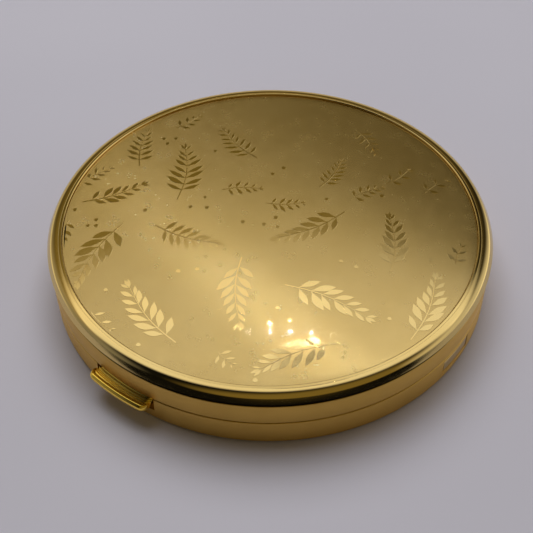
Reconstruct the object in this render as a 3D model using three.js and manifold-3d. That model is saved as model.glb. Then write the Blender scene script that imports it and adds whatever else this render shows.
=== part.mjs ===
// A round, slim powder compact with a domed lid panel, a polished rim, a ribbed thumb catch at the
// front (-Y), a hinge at the back (+Y) and, inside, a powder pan, an inner lid, a puff and a mirror.
// Millimetres, +Z up, origin at the middle of the flat underside.

import * as THREE from 'three';
import { mergeVertices } from 'three/addons/utils/BufferGeometryUtils.js';
import Module from 'manifold-3d';

const wasm = await Module();
wasm.setup();

// ---------- Driving dimensions ----------

const RIM_RADIUS = 42.5;          // widest point of the lid's polished rim
const WALL_RADIUS = 42.3;         // outside of both walls
const WALL = 0.8;                 // thickness of both walls
const BASE_TOP = 5.62;            // top of the lower wall
const LID_BOTTOM = 5.86;          // bottom of the upper wall
const FLOOR = 0.8;                // thickness of the base's floor

const CREST_RADIUS = 40.2;        // top of the rim, round the panel
const CREST_HEIGHT = 12.84;
const CREST_FLATNESS = 2.0;       // width of the rim's curve as a share of its height
const SHOULDER_SLOPE = 34;        // where that curve ends, as degrees its normal rises
const EDGE_SLOPE = 30;            // and along the straight flank below it
const EDGE_HEIGHT = 11.3;
const GROOVE = { bottom: 10.35, top: 11.2, depth: 0.45 };  // under the rim's edge
const LEDGE_TOP = 12.0;           // what the panel lies on
const LEDGE_BOTTOM = 11.55;
const PANEL_RADIUS = 39.55;
const PANEL_EDGE_TOP = 12.46;
const PANEL_RISE = 1.05;          // dome of the panel, edge to middle
const PANEL_THICKNESS = 0.4;

const FLANGE_TOP = 4.5;           // inner frame
const FLANGE_THICKNESS = 0.5;
const LIP_OUTER = 41.1;           // lip that the lid closes over
const LIP_TOP = 6.9;
const WELL_INNER = 33.3;          // powder well
const BEAD_OUTER = 34.3;
const BEAD_TOP = 5.2;

const HINGE = { y: 41.2, z: 5.8, radius: 1.2, bore: 0.65, pin: 0.5, half: 9.6 };
const DOOR_HINGE = { y: 36.4, z: 5.9, radius: 0.9, bore: 0.5, pin: 0.35, half: 8.0 };
const CATCH = { y: -38.0, z: 2.9, radius: 1.2, bore: 0.65, pin: 0.5, half: 5.9 };
const CATCH_SPREAD = 8.6;         // half of the angle that the thumb bar spans, degrees
const CATCH_REACH = 44.85;        // radius of the thumb bar's outer lip

const HINGE_RIVET_X = 3.9;        // rivets of both hinge plates, either side of the middle
const HINGE_RIVET_Y = 38.35;
const CATCH_RIVET_X = 4.4;
const CATCH_RIVET_Y = -36.6;
const KEEPER_RIVET_Y = -38.7;

const LUG = { half: 3.9, bottom: 2.2, top: 4.6, radius: 42.22, gap: 0.27 };
const DOOR_RADIUS = 35.2;
const PUFF = { radius: 30.5, bottom: 6.42, top: 9.45 };
const MIRROR = { radius: 34.6, bottom: 10.3, top: 11.3 };

const ROUND = 48;                 // facets round the large rings
const SMALL = 14;                 // facets round pins and knuckles

// ---------- Geometry helpers ----------

const radians = THREE.MathUtils.degToRad;

// Points of an arc in a section, angles in degrees from the outward direction towards +Z.
function arc(centreX, centreY, radius, from, to, steps) {
  return Array.from({ length: steps + 1 }, (_, i) => {
    const angle = radians(from + ((to - from) * i) / steps);
    return [centreX + radius * Math.cos(angle), centreY + radius * Math.sin(angle)];
  });
}

// Keeps only positions, joins equal ones and drops triangles that have no area.
function bare(geometry) {
  const stripped = geometry.clone();
  stripped.deleteAttribute('normal');
  stripped.deleteAttribute('uv');
  const joined = mergeVertices(stripped, 1e-4);
  const index = joined.index.array;
  const kept = [];
  for (let i = 0; i < index.length; i += 3) {
    const [a, b, c] = index.slice(i, i + 3);
    if (a !== b && b !== c && c !== a) kept.push(a, b, c);
  }
  joined.setIndex(kept);
  return joined;
}

function signedVolume(geometry) {
  const at = geometry.attributes.position;
  const index = geometry.index.array;
  const [a, b, c] = [new THREE.Vector3(), new THREE.Vector3(), new THREE.Vector3()];
  let total = 0;
  for (let i = 0; i < index.length; i += 3) {
    a.fromBufferAttribute(at, index[i]);
    b.fromBufferAttribute(at, index[i + 1]);
    c.fromBufferAttribute(at, index[i + 2]);
    total += a.dot(b.cross(c)) / 6;
  }
  return total;
}

// A solid whose faces point out, ready to be joined and cut.
function solid(geometry) {
  const joined = bare(geometry);
  const index = Array.from(joined.index.array);
  if (signedVolume(joined) < 0) index.reverse();
  const triVerts = Uint32Array.from(index);
  const vertProperties = Float32Array.from(joined.attributes.position.array);
  return new wasm.Manifold(new wasm.Mesh({ numProp: 3, vertProperties, triVerts }));
}

function join(first, ...rest) {
  return rest.reduce((whole, next) => whole.add(next), first);
}

function cut(first, ...rest) {
  return rest.reduce((whole, next) => whole.subtract(next), first);
}

// A ring or disc turned about Z from a section of [radius, height] points.
function turned(section, facets = ROUND) {
  const points = section.map(([r, z]) => new THREE.Vector2(r, z));
  return solid(new THREE.LatheGeometry(points, facets).rotateX(Math.PI / 2));
}

const turnedRing = (section, facets) => turned([...section, section[0]], facets);

function block([x0, y0, z0], [x1, y1, z1]) {
  const box = new THREE.BoxGeometry(x1 - x0, y1 - y0, z1 - z0);
  return solid(box.translate((x0 + x1) / 2, (y0 + y1) / 2, (z0 + z1) / 2));
}

// A section of [y, z] points, run along X.
function alongX(section, x0, x1) {
  const shape = new THREE.Shape(section.map(([y, z]) => new THREE.Vector2(y, z)));
  const run = new THREE.ExtrudeGeometry(shape, { depth: x1 - x0, bevelEnabled: false });
  const turn = new THREE.Matrix4().makeBasis(
    new THREE.Vector3(0, 1, 0),
    new THREE.Vector3(0, 0, 1),
    new THREE.Vector3(1, 0, 0),
  );
  return solid(run.applyMatrix4(turn).translate(x0, 0, 0));
}

function rodX(y, z, radius, x0, x1, facets = SMALL) {
  const rod = new THREE.CylinderGeometry(radius, radius, x1 - x0, facets);
  return solid(rod.rotateZ(Math.PI / 2).translate((x0 + x1) / 2, y, z));
}

function rodZ(x, y, radius, z0, z1, facets = SMALL) {
  const rod = new THREE.CylinderGeometry(radius, radius, z1 - z0, facets);
  return solid(rod.rotateX(Math.PI / 2).translate(x, y, (z0 + z1) / 2));
}

// A rivet standing along Z, with a domed head at each end where a head height is given.
function rivet(x, y, shank, z0, z1, head, below, above) {
  const section = [[0, z0 - below]];
  if (below) section.push([head * 0.7, z0 - below], [head, z0 - below * 0.4], [head, z0]);
  section.push([shank, z0], [shank, z1]);
  if (above) section.push([head, z1], [head, z1 + above * 0.4], [head * 0.7, z1 + above]);
  section.push([0, z1 + above]);
  const points = section.map(([r, z]) => new THREE.Vector2(r, z));
  return solid(new THREE.LatheGeometry(points, SMALL).rotateX(Math.PI / 2).translate(x, y, 0));
}

// Five-sided wire along a list of points.
function wire(points, radius, steps) {
  const section = new THREE.Shape(arc(0, 0, radius, 0, 288, 4).map(([x, y]) => new THREE.Vector2(x, y)));
  const path = new THREE.CatmullRomCurve3(points, false, 'centripetal');
  return solid(new THREE.ExtrudeGeometry(section, { extrudePath: path, steps, bevelEnabled: false }));
}

// ---------- Materials ----------

const finish = (color, roughness, metalness) =>
  new THREE.MeshStandardMaterial({ color, roughness, metalness });

const MATERIALS = {
  satinGold: finish(0xc9a65a, 0.42, 1),
  polishedGold: finish(0xd6ae55, 0.12, 1),
  wallGold: finish(0xb9924a, 0.3, 1),
  catchGold: finish(0xd9a026, 0.2, 1),
  innerGold: finish(0xcfa856, 0.22, 1),
  steel: finish(0xb8b8b4, 0.3, 1),
  pan: finish(0xc4c4c2, 0.35, 1),
  powder: finish(0xd9ad8c, 0.95, 0),
  velour: finish(0xe8c9b4, 0.95, 0),
  ribbon: finish(0xe0b49c, 0.55, 0),
  mirror: finish(0xdde3e6, 0.02, 1),
  card: finish(0x6c5a44, 0.9, 0),
};

const compact = new THREE.Group();

function place(name, shape, material) {
  const { vertProperties, triVerts } = shape.getMesh();
  const geometry = new THREE.BufferGeometry();
  geometry.setAttribute('position', new THREE.BufferAttribute(vertProperties, 3));
  geometry.setIndex(new THREE.BufferAttribute(triVerts, 1));
  geometry.computeVertexNormals();
  const mesh = new THREE.Mesh(geometry, material);
  mesh.name = name;
  compact.add(mesh);
}

// ---------- Base ----------

const NOTCH_HALF = 6.65;          // half width of the catch's notch in the wall
const NOTCH_BOTTOM = 2.6;
const HINGE_SLOT_HALF = 10.0;
const HINGE_SLOT_BOTTOM = 3.9;
const HINGE_SLOT_TOP = 7.6;

function baseShell() {
  const inside = WALL_RADIUS - WALL;
  const corner = 0.9;
  const ringInner = 33.0;         // shallow turned ring in the underside
  const ringOuter = 33.8;
  const ringDepth = 0.2;
  const section = [
    [0, 0],
    [ringInner, 0],
    [ringInner + ringDepth, ringDepth],
    [ringOuter - ringDepth, ringDepth],
    [ringOuter, 0],
    ...arc(WALL_RADIUS - corner, corner, corner, -90, 0, 3),
    [WALL_RADIUS, BASE_TOP],
    [inside, BASE_TOP],
    ...arc(inside - FLOOR, 2 * FLOOR, FLOOR, 0, -90, 2),
    [0, FLOOR],
  ];
  const window = (side) => {
    const [inner, outer] = [side * 40, side * 44];
    return block(
      [Math.min(inner, outer), -LUG.half - LUG.gap, LUG.bottom - LUG.gap],
      [Math.max(inner, outer), LUG.half + LUG.gap, LUG.top + LUG.gap],
    );
  };
  return cut(
    turned(section),
    block([-NOTCH_HALF, -44, NOTCH_BOTTOM], [NOTCH_HALF, -39, BASE_TOP + 1]),
    block([-HINGE_SLOT_HALF, 39, HINGE_SLOT_BOTTOM], [HINGE_SLOT_HALF, 44, BASE_TOP + 1]),
    window(1),
    window(-1),
  );
}

function innerFrame() {
  const sheet = 0.5;
  const lipInner = LIP_OUTER - sheet;
  const skirtBottom = 1.9;
  const wellBottom = FLOOR + 0.05;
  const ledgeInner = 31.5;
  const flangeBottom = FLANGE_TOP - FLANGE_THICKNESS;
  const ring = turnedRing([
    [ledgeInner, wellBottom],
    [WELL_INNER + sheet, wellBottom],
    [WELL_INNER + sheet, flangeBottom],
    [lipInner, flangeBottom],
    [lipInner, skirtBottom],
    [LIP_OUTER, skirtBottom],
    [LIP_OUTER, LIP_TOP - 0.2],
    [LIP_OUTER - 0.2, LIP_TOP],
    [lipInner, LIP_TOP],
    [lipInner, FLANGE_TOP],
    [BEAD_OUTER, FLANGE_TOP],
    [BEAD_OUTER, BEAD_TOP - 0.15],
    [BEAD_OUTER - 0.15, BEAD_TOP],
    [WELL_INNER + 0.15, BEAD_TOP],
    [WELL_INNER, BEAD_TOP - 0.15],
    [WELL_INNER, wellBottom + 0.3],
    [ledgeInner, wellBottom + 0.3],
  ]);
  const lugRing = turnedRing([
    [LIP_OUTER - 0.3, LUG.bottom],
    [LUG.radius, LUG.bottom],
    [LUG.radius, LUG.top],
    [LIP_OUTER - 0.3, LUG.top],
  ]);
  const lug = (side) => {
    const [inner, outer] = [side * 39, side * 44];
    return lugRing.intersect(block(
      [Math.min(inner, outer), -LUG.half, 0],
      [Math.max(inner, outer), LUG.half, LIP_TOP],
    ));
  };
  const rivetHole = (side) => rodZ(side * HINGE_RIVET_X, HINGE_RIVET_Y, 0.65, 3, 5.2);
  const catchSpace = block([-8.0, -43, FLOOR - 0.3], [8.0, -35.6, LIP_TOP + 1]);
  const hingeSpace = block([-10.6, 39.3, FLANGE_TOP - 0.02], [10.6, 43, LIP_TOP + 1]);
  return cut(join(ring, lug(1), lug(-1)), catchSpace, hingeSpace, rivetHole(1), rivetHole(-1));
}

const PAN = { radius: 32.9, bottom: 1.2, top: 4.2, sheet: 0.4 };

function powderPan() {
  const { radius, bottom, top, sheet } = PAN;
  return turned([
    [0, bottom],
    [radius - 0.4, bottom],
    [radius, bottom + 0.4],
    [radius, top],
    [radius - sheet, top],
    [radius - sheet, bottom + sheet],
    [0, bottom + sheet],
  ]);
}

function powderCake() {
  const radius = PAN.radius - PAN.sheet - 0.3;
  const bottom = PAN.bottom + PAN.sheet + 0.05;
  const edgeTop = 3.55;
  const crown = 0.35;
  return turned([
    [0, bottom],
    [radius - 0.3, bottom],
    [radius, bottom + 0.3],
    [radius, edgeTop - 0.25],
    [radius - 0.25, edgeTop],
    [radius * 0.6, edgeTop + crown * 0.65],
    [0, edgeTop + crown],
  ]);
}

// ---------- Thumb catch ----------

const ARM = { bottom: 4.3, top: 4.9 };
const HOOK = { half: 1.8, outer: -39.0, inner: -38.4, nose: -37.7, top: 8.4 };

// The bar outside the wall: grooves run along it, and its outer edge is a rounded lip.
function thumbBar() {
  const bottom = ARM.bottom;
  const face = 5.22;
  const lipRadius = 0.5;
  const lip = CATCH_REACH - lipRadius;
  const grooves = [43.7, 43.05, 42.4, 41.75].flatMap((r) => [
    [r, face],
    [r - 0.1, face - 0.2],
    [r - 0.22, face - 0.2],
    [r - 0.32, face],
  ]);
  return turnedRing([
    [40.6, bottom],
    [lip, bottom],
    ...arc(lip, bottom + lipRadius, lipRadius, -60, 0, 2),
    ...arc(lip, face - 0.22, lipRadius, 30, 150, 4),
    ...grooves,
    [41.2, face],
    [41.0, ARM.top],
    [40.6, ARM.top],
  ], 2 * ROUND);
}

function thumbCatch() {
  const reach = 60;
  const spread = reach * Math.tan(radians(CATCH_SPREAD));
  const wedge = new THREE.Shape([
    new THREE.Vector2(0, 0),
    new THREE.Vector2(-spread, -reach),
    new THREE.Vector2(spread, -reach),
  ]);
  const sector = solid(new THREE.ExtrudeGeometry(wedge, { depth: 20, bevelEnabled: false }));
  const bar = thumbBar().intersect(sector);
  const arm = block([-CATCH.half, -41.0, ARM.bottom], [CATCH.half, -37.3, ARM.top]);
  const cheek = (x0, x1) => join(
    rodX(CATCH.y, CATCH.z, CATCH.radius, x0, x1),
    block([x0, CATCH.y - 0.7, CATCH.z], [x1, CATCH.y + 0.7, ARM.bottom + 0.2]),
  );
  const hook = alongX([
    [HOOK.outer, ARM.bottom],
    [HOOK.inner, ARM.bottom],
    [HOOK.inner, 7.7],
    [HOOK.nose, 7.7],
    [HOOK.nose, 7.9],
    [HOOK.inner, HOOK.top],
    [HOOK.outer, HOOK.top],
  ], -HOOK.half, HOOK.half);
  const whole = join(bar, arm, cheek(-CATCH.half, -2.5), cheek(2.5, CATCH.half), hook);
  return cut(whole, rodX(CATCH.y, CATCH.z, CATCH.bore, -CATCH.half - 1, CATCH.half + 1));
}

const BRACKET = { half: 7.0, sheet: 0.5, front: -39.6, back: -35.9 };

function catchBracket() {
  const bottom = FLOOR + 0.05;
  const { half, sheet, front, back } = BRACKET;
  const plate = block([-half, front, bottom], [half, back, bottom + sheet]);
  const earSection = [
    [front + 0.4, bottom],
    [back - 0.9, bottom],
    [back - 0.9, CATCH.z],
    ...arc(CATCH.y, CATCH.z, 1.2, 20, 160, 6),
    [front + 0.4, CATCH.z],
  ];
  const ear = (x0) => alongX(earSection, x0, x0 + sheet);
  const holes = [-1, 1].map((side) => rodZ(side * CATCH_RIVET_X, CATCH_RIVET_Y, 0.6, 0, 3));
  return cut(
    join(plate, ear(-half), ear(half - sheet)),
    rodX(CATCH.y, CATCH.z, CATCH.bore, -8, 8),
    ...holes,
  );
}

function catchSpring() {
  const turns = 5;
  const coil = 0.97;
  const half = 1.9;
  const points = [new THREE.Vector3(-half, CATCH.y + 1.7, CATCH.z - 1.1)];
  const perTurn = 10;
  for (let i = 0; i <= turns * perTurn; i += 1) {
    const angle = radians(-80) + (i / perTurn) * 2 * Math.PI;
    const x = -half + (2 * half * i) / (turns * perTurn);
    points.push(new THREE.Vector3(x, CATCH.y + coil * Math.cos(angle), CATCH.z + coil * Math.sin(angle)));
  }
  return wire(points, 0.17, 56);
}

// ---------- Hinges ----------

const BASE_KNUCKLES = [[-9.6, -5.9], [-1.7, 1.7], [5.9, 9.6]];
const LID_KNUCKLES = [[-5.6, -2.0], [2.0, 5.6]];
const DOOR_BASE_KNUCKLES = [[-8.0, -5.2], [5.2, 8.0]];
const DOOR_KNUCKLES = [[-4.9, -2.4], [2.4, 4.9]];

const bore = ({ y, z, bore: radius, half }) => rodX(y, z, radius, -half - 1, half + 1);
const knuckle = ({ y, z, radius }, [x0, x1]) => rodX(y, z, radius, x0, x1);

function baseHingePlate() {
  const bottom = FLANGE_TOP + 0.05;
  const top = bottom + 0.5;
  const plate = block([-HINGE.half, 37.3, bottom], [HINGE.half, 39.35, top]);
  const lidSide = BASE_KNUCKLES.map(([x0, x1]) => join(
    knuckle(HINGE, [x0, x1]),
    block([x0, 39.2, bottom], [x1, HINGE.y, top]),
  ));
  const doorSide = DOOR_BASE_KNUCKLES.map(([x0, x1]) => join(
    knuckle(DOOR_HINGE, [x0, x1]),
    block([x0, DOOR_HINGE.y, bottom], [x1, 37.5, top + 0.3]),
  ));
  const holes = [-1, 1].map((side) => rodZ(side * HINGE_RIVET_X, HINGE_RIVET_Y, 0.65, 3, 7));
  return cut(join(plate, ...lidSide, ...doorSide), bore(HINGE), bore(DOOR_HINGE), ...holes);
}

function lidHingePlate() {
  const [inner, outer] = [39.7, 40.2];
  const foot = HINGE.z + 1.0;
  const flangeTop = LEDGE_BOTTOM - 0.05;
  const half = 7.4;
  const upright = block([-half, inner, foot], [half, outer, flangeTop]);
  const flange = block([-half, 36.9, flangeTop - 0.5], [half, outer, flangeTop]);
  const knuckles = LID_KNUCKLES.map(([x0, x1]) => join(
    knuckle(HINGE, [x0, x1]),
    block([x0, inner, HINGE.z - 0.4], [x1, outer, foot + 0.3]),
    block([x0, inner, HINGE.z - 0.4], [x1, HINGE.y - 0.7, HINGE.z + 0.4]),
  ));
  const holes = [-1, 1].map((side) => rodZ(side * HINGE_RIVET_X, HINGE_RIVET_Y, 0.6, 10, 12));
  return cut(join(upright, flange, ...knuckles), bore(HINGE), ...holes);
}

function innerLidSpring() {
  const turns = 5;
  const coil = 0.68;
  const half = 1.9;
  const perTurn = 10;
  const { y, z } = DOOR_HINGE;
  const points = [new THREE.Vector3(-half, y - 0.7, z - 1.15)];
  for (let i = 0; i <= turns * perTurn; i += 1) {
    const angle = radians(-90) + (i / perTurn) * 2 * Math.PI;
    const x = -half + (2 * half * i) / (turns * perTurn);
    points.push(new THREE.Vector3(x, y + coil * Math.cos(angle), z + coil * Math.sin(angle)));
  }
  return wire(points, 0.14, 56);
}

// ---------- Inner lid and puff ----------

function innerLid() {
  const sheet = 0.45;
  const top = 5.75;
  const rise = 0.5;
  const lipBottom = 4.9;
  const lipSheet = 0.4;
  const disc = turned([
    [0, top - sheet + rise],
    [DOOR_RADIUS * 0.5, top - sheet + rise * 0.72],
    [DOOR_RADIUS * 0.8, top - sheet + rise * 0.2],
    [DOOR_RADIUS * 0.88, top - sheet],
    [DOOR_RADIUS - lipSheet, top - sheet],
    [DOOR_RADIUS - lipSheet, lipBottom],
    [DOOR_RADIUS, lipBottom],
    [DOOR_RADIUS, top - 0.2],
    [DOOR_RADIUS - 0.2, top],
    [DOOR_RADIUS * 0.88, top],
    [DOOR_RADIUS * 0.8, top + rise * 0.2],
    [DOOR_RADIUS * 0.5, top + rise * 0.72],
    [0, top + rise],
  ]);
  const tab = block([-4.0, -36.2, top - sheet], [4.0, -34.9, top - 0.05]);
  const tails = DOOR_KNUCKLES.map(([x0, x1]) => join(
    knuckle(DOOR_HINGE, [x0, x1]),
    block([x0, 34.4, top - sheet + 0.05], [x1, DOOR_HINGE.y - 0.5, top - 0.02]),
  ));
  return cut(join(disc, tab, ...tails), bore(DOOR_HINGE));
}

function puffPad() {
  const { radius, bottom, top } = PUFF;
  const edge = (top - bottom) / 2;
  return turned([
    [0, bottom],
    ...arc(radius - edge, bottom + edge, edge, -90, 90, 6),
    [0, top],
  ], 48);
}

function puffRibbon() {
  const half = 5.0;
  const reach = 27.0;
  const rest = PUFF.top + 0.03;
  const sheet = 0.2;
  return alongX(
    [[-half, rest], [half, rest], [half, rest + sheet], [-half, rest + sheet]],
    -reach,
    reach,
  );
}

// ---------- Lid ----------

// The rim's section from its edge, up a straight flank and an elliptical curve to the crest.
function rimCurve(steps) {
  const foot = Math.atan(Math.tan(radians(SHOULDER_SLOPE)) / CREST_FLATNESS);
  const lean = Math.tan(radians(EDGE_SLOPE));
  const across = RIM_RADIUS - CREST_RADIUS;
  const drop = CREST_HEIGHT - EDGE_HEIGHT;
  const sunk = 1 - Math.sin(foot);
  const high = (across - lean * drop) / (CREST_FLATNESS * Math.cos(foot) - lean * sunk);
  const curve = Array.from({ length: steps + 1 }, (_, i) => {
    const t = foot + ((Math.PI / 2 - foot) * i) / steps;
    return [CREST_RADIUS + CREST_FLATNESS * high * Math.cos(t), CREST_HEIGHT - high * (1 - Math.sin(t))];
  });
  return [[RIM_RADIUS, EDGE_HEIGHT], ...curve];
}

function lidFrame() {
  const inside = WALL_RADIUS - WALL;
  const bead = 0.2;
  const ledgeInner = 35.2;
  const seat = PANEL_RADIUS + 0.15;
  const ring = turnedRing([
    [inside, LID_BOTTOM],
    [WALL_RADIUS - 0.1, LID_BOTTOM],
    [WALL_RADIUS, LID_BOTTOM + 0.1],
    [WALL_RADIUS, GROOVE.bottom],
    [WALL_RADIUS - GROOVE.depth, GROOVE.bottom],
    [WALL_RADIUS - GROOVE.depth, GROOVE.top],
    [RIM_RADIUS - 0.08, GROOVE.top],
    ...rimCurve(5),
    ...arc(seat + bead, CREST_HEIGHT - bead, bead, 90, 180, 2),
    [seat, LEDGE_TOP],
    [ledgeInner, LEDGE_TOP],
    [ledgeInner, LEDGE_BOTTOM],
    [inside - 0.3, LEDGE_BOTTOM],
    [inside, LEDGE_BOTTOM - 0.3],
  ]);
  const slot = block([-HINGE_SLOT_HALF, 39, LID_BOTTOM - 1], [HINGE_SLOT_HALF, 44, HINGE_SLOT_TOP]);
  const hingeHoles = [-1, 1].map((side) => rodZ(side * HINGE_RIVET_X, HINGE_RIVET_Y, 0.6, 11, 13));
  return cut(ring, slot, rodZ(0, KEEPER_RIVET_Y, 0.6, 11, 13), ...hingeHoles);
}

// A sheet of even thickness with the dome of a large sphere.
function lidPanel() {
  const steps = 4;
  const dome = (r) => PANEL_EDGE_TOP + PANEL_RISE * (1 - (r / PANEL_RADIUS) ** 2);
  const across = Array.from({ length: steps + 1 }, (_, i) => (PANEL_RADIUS * i) / steps);
  const below = across.map((r) => [r, dome(r) - PANEL_THICKNESS]);
  const above = across.toReversed().map((r) => [r, dome(r)]);
  return turned([...below, ...above]);
}

function lidKeeper() {
  const half = 2.5;
  const top = LEDGE_BOTTOM - 0.05;
  const keeper = alongX([
    [-39.6, top - 0.5],
    [-37.2, top - 0.5],
    [-37.2, 7.5],
    [-37.55, 7.3],
    [-37.55, 6.95],
    [-37.2, 6.8],
    [-36.8, 6.8],
    [-36.8, top],
    [-39.6, top],
  ], -half, half);
  return cut(keeper, rodZ(0, KEEPER_RIVET_Y, 0.6, 10, 12));
}

function mirrorGlass() {
  const { radius, bottom, top } = MIRROR;
  const bevel = 0.2;
  return turned([
    [0, bottom],
    [radius - bevel, bottom],
    [radius, bottom + bevel],
    [radius, top],
    [0, top],
  ]);
}

function mirrorBacking() {
  return turned([[0, 11.35], [34.4, 11.35], [34.4, 11.85], [0, 11.85]]);
}

function mirrorBezel() {
  const lipInner = MIRROR.radius - 0.7;
  const hole = MIRROR.radius + 0.3;
  const outer = 36.2;
  return turnedRing([
    [lipInner, 10.0],
    [lipInner + 0.1, 9.9],
    ...arc(outer - 0.5, 10.4, 0.5, -90, 0, 2),
    [outer, LEDGE_BOTTOM - 0.05],
    [hole, LEDGE_BOTTOM - 0.05],
    [hole, MIRROR.bottom - 0.05],
    [lipInner, MIRROR.bottom - 0.05],
  ]);
}

// ---------- The compact ----------

const M = MATERIALS;
place('base_shell', baseShell(), M.wallGold);
place('inner_frame', innerFrame(), M.innerGold);
place('powder_pan', powderPan(), M.pan);
place('powder_cake', powderCake(), M.powder);

place('catch_bracket', catchBracket(), M.innerGold);
place('catch_pin', rodX(CATCH.y, CATCH.z, CATCH.pin, -7.3, 7.3), M.steel);
place('thumb_catch', thumbCatch(), M.catchGold);
place('catch_spring', catchSpring(), M.steel);

place('base_hinge_plate', baseHingePlate(), M.innerGold);
place('lid_hinge_pin', rodX(HINGE.y, HINGE.z, HINGE.pin, -HINGE.half - 0.1, HINGE.half + 0.1), M.steel);
place('inner_lid_pin', rodX(DOOR_HINGE.y, DOOR_HINGE.z, DOOR_HINGE.pin, -8.1, 8.1), M.steel);
place('inner_lid_spring', innerLidSpring(), M.steel);

for (const [side, word] of [[-1, 'left'], [1, 'right']]) {
  const bracketTop = FLOOR + 0.05 + BRACKET.sheet;
  const plateTop = FLANGE_TOP + 0.55;
  place(
    `catch_rivet_${word}`,
    rivet(side * CATCH_RIVET_X, CATCH_RIVET_Y, 0.45, FLOOR + 0.02, bracketTop + 0.02, 0.95, 0, 0.4),
    M.steel,
  );
  place(
    `base_hinge_rivet_${word}`,
    rivet(side * HINGE_RIVET_X, HINGE_RIVET_Y, 0.5, 3.98, plateTop + 0.02, 0.95, 0.35, 0.35),
    M.steel,
  );
  place(
    `lid_hinge_rivet_${word}`,
    rivet(side * HINGE_RIVET_X, HINGE_RIVET_Y, 0.45, LEDGE_BOTTOM - 0.57, LEDGE_TOP - 0.02, 0.95, 0.35, 0),
    M.steel,
  );
}

place('inner_lid', innerLid(), M.innerGold);
place('puff_pad', puffPad(), M.velour);
place('puff_ribbon', puffRibbon(), M.ribbon);

place('lid_frame', lidFrame(), M.polishedGold);
place('lid_panel', lidPanel(), M.satinGold);
place('lid_hinge_plate', lidHingePlate(), M.innerGold);
place('lid_keeper', lidKeeper(), M.innerGold);
place(
  'keeper_rivet',
  rivet(0, KEEPER_RIVET_Y, 0.45, LEDGE_BOTTOM - 0.57, LEDGE_TOP - 0.02, 0.95, 0.35, 0),
  M.steel,
);
place('mirror_glass', mirrorGlass(), M.mirror);
place('mirror_backing', mirrorBacking(), M.card);
place('mirror_bezel', mirrorBezel(), M.polishedGold);

export default compact;
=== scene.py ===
"""The looks of a round powder compact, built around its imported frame.

Shapes are worked out in millimetres and become metres when a mesh is made.
The catch is at -Y, the hinge at +Y, and the origin is in the middle of the underside.
"""

import math
import random
from types import SimpleNamespace

import bmesh
import bpy
from mathutils import Matrix, Vector


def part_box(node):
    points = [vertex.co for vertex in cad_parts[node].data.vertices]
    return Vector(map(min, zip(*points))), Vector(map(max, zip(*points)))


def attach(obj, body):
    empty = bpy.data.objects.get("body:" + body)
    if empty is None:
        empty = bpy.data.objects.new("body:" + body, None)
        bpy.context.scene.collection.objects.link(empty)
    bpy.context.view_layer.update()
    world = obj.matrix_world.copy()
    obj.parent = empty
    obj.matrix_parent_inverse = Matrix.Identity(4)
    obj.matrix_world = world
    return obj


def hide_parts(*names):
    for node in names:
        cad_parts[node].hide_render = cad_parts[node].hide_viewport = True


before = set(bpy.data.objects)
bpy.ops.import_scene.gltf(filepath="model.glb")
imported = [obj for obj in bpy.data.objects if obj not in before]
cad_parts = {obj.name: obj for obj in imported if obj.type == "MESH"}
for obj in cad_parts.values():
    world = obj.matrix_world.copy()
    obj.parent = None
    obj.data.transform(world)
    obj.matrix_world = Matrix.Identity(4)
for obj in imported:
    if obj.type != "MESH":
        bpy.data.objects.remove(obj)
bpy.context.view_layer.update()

# ---------- Sizes, in millimetres ----------

MM = 0.001


def box_mm(node):
    low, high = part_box(node)
    return low / MM, high / MM


def round_size(node):
    """Radius, bottom and top of a round node."""
    low, high = box_mm(node)
    return high.x, low.z, high.z


RIM_RADIUS, LID_BOTTOM, CREST_HEIGHT = round_size("lid_frame")
WALL_RADIUS, _, BASE_TOP = round_size("base_shell")
WALL = 0.8
WALL_INSIDE = WALL_RADIUS - WALL
FLOOR = 0.8
LEDGE_TOP = 12.0
LEDGE_BOTTOM = 11.55

PANEL_RADIUS, PANEL_BOTTOM, PANEL_TOP = round_size("lid_panel")
PANEL_THICKNESS = 0.4
PANEL_EDGE_TOP = PANEL_BOTTOM + PANEL_THICKNESS
PANEL_RISE = PANEL_TOP - PANEL_EDGE_TOP

FLANGE_TOP = 4.5
LIP_OUTER = 41.1
LIP_TOP = round_size("inner_frame")[2]
WELL_INNER = 33.3
BEAD_OUTER = 34.3
BEAD_TOP = 5.2


def hinge_line(pin_node, radius, bore):
    """Where a pin runs, from its node, with the radius and bore of the knuckles on it."""
    low, high = box_mm(pin_node)
    return SimpleNamespace(
        y=(low.y + high.y) / 2,
        z=(low.z + high.z) / 2,
        pin=(high.z - low.z) / 2,
        half=high.x,
        radius=radius,
        bore=bore,
    )


HINGE = hinge_line("lid_hinge_pin", 1.2, 0.65)
DOOR_HINGE = hinge_line("inner_lid_pin", 0.9, 0.5)
CATCH = hinge_line("catch_pin", 1.2, 0.65)
CATCH_HALF = 5.9
CATCH_SPREAD = 8.6                # half of the angle that the thumb bar spans, degrees
ARM_BOTTOM, ARM_TOP = 4.3, 4.9
HINGE_RIVET = (3.9, 38.35)
CATCH_RIVET = (4.4, -36.6)
KEEPER_RIVET_Y = -38.7
RIVET_HEAD = 0.95                 # radius of a rivet's head
RIVET_DOME = 0.35                 # and its height

BASE_KNUCKLES = ((-9.6, -5.9), (-1.7, 1.7), (5.9, 9.6))
LID_KNUCKLES = ((-5.6, -2.0), (2.0, 5.6))
DOOR_BASE_KNUCKLES = ((-8.0, -5.2), (5.2, 8.0))
DOOR_KNUCKLES = ((-4.9, -2.4), (2.4, 4.9))

LUG_HALF, LUG_BOTTOM, LUG_TOP, LUG_RADIUS, LUG_GAP = 3.9, 2.2, 4.6, 42.22, 0.27
NOTCH_HALF, NOTCH_BOTTOM = 6.65, 2.6
HINGE_SLOT_HALF, HINGE_SLOT_BOTTOM, HINGE_SLOT_TOP = 10.0, 3.9, 7.6

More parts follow.
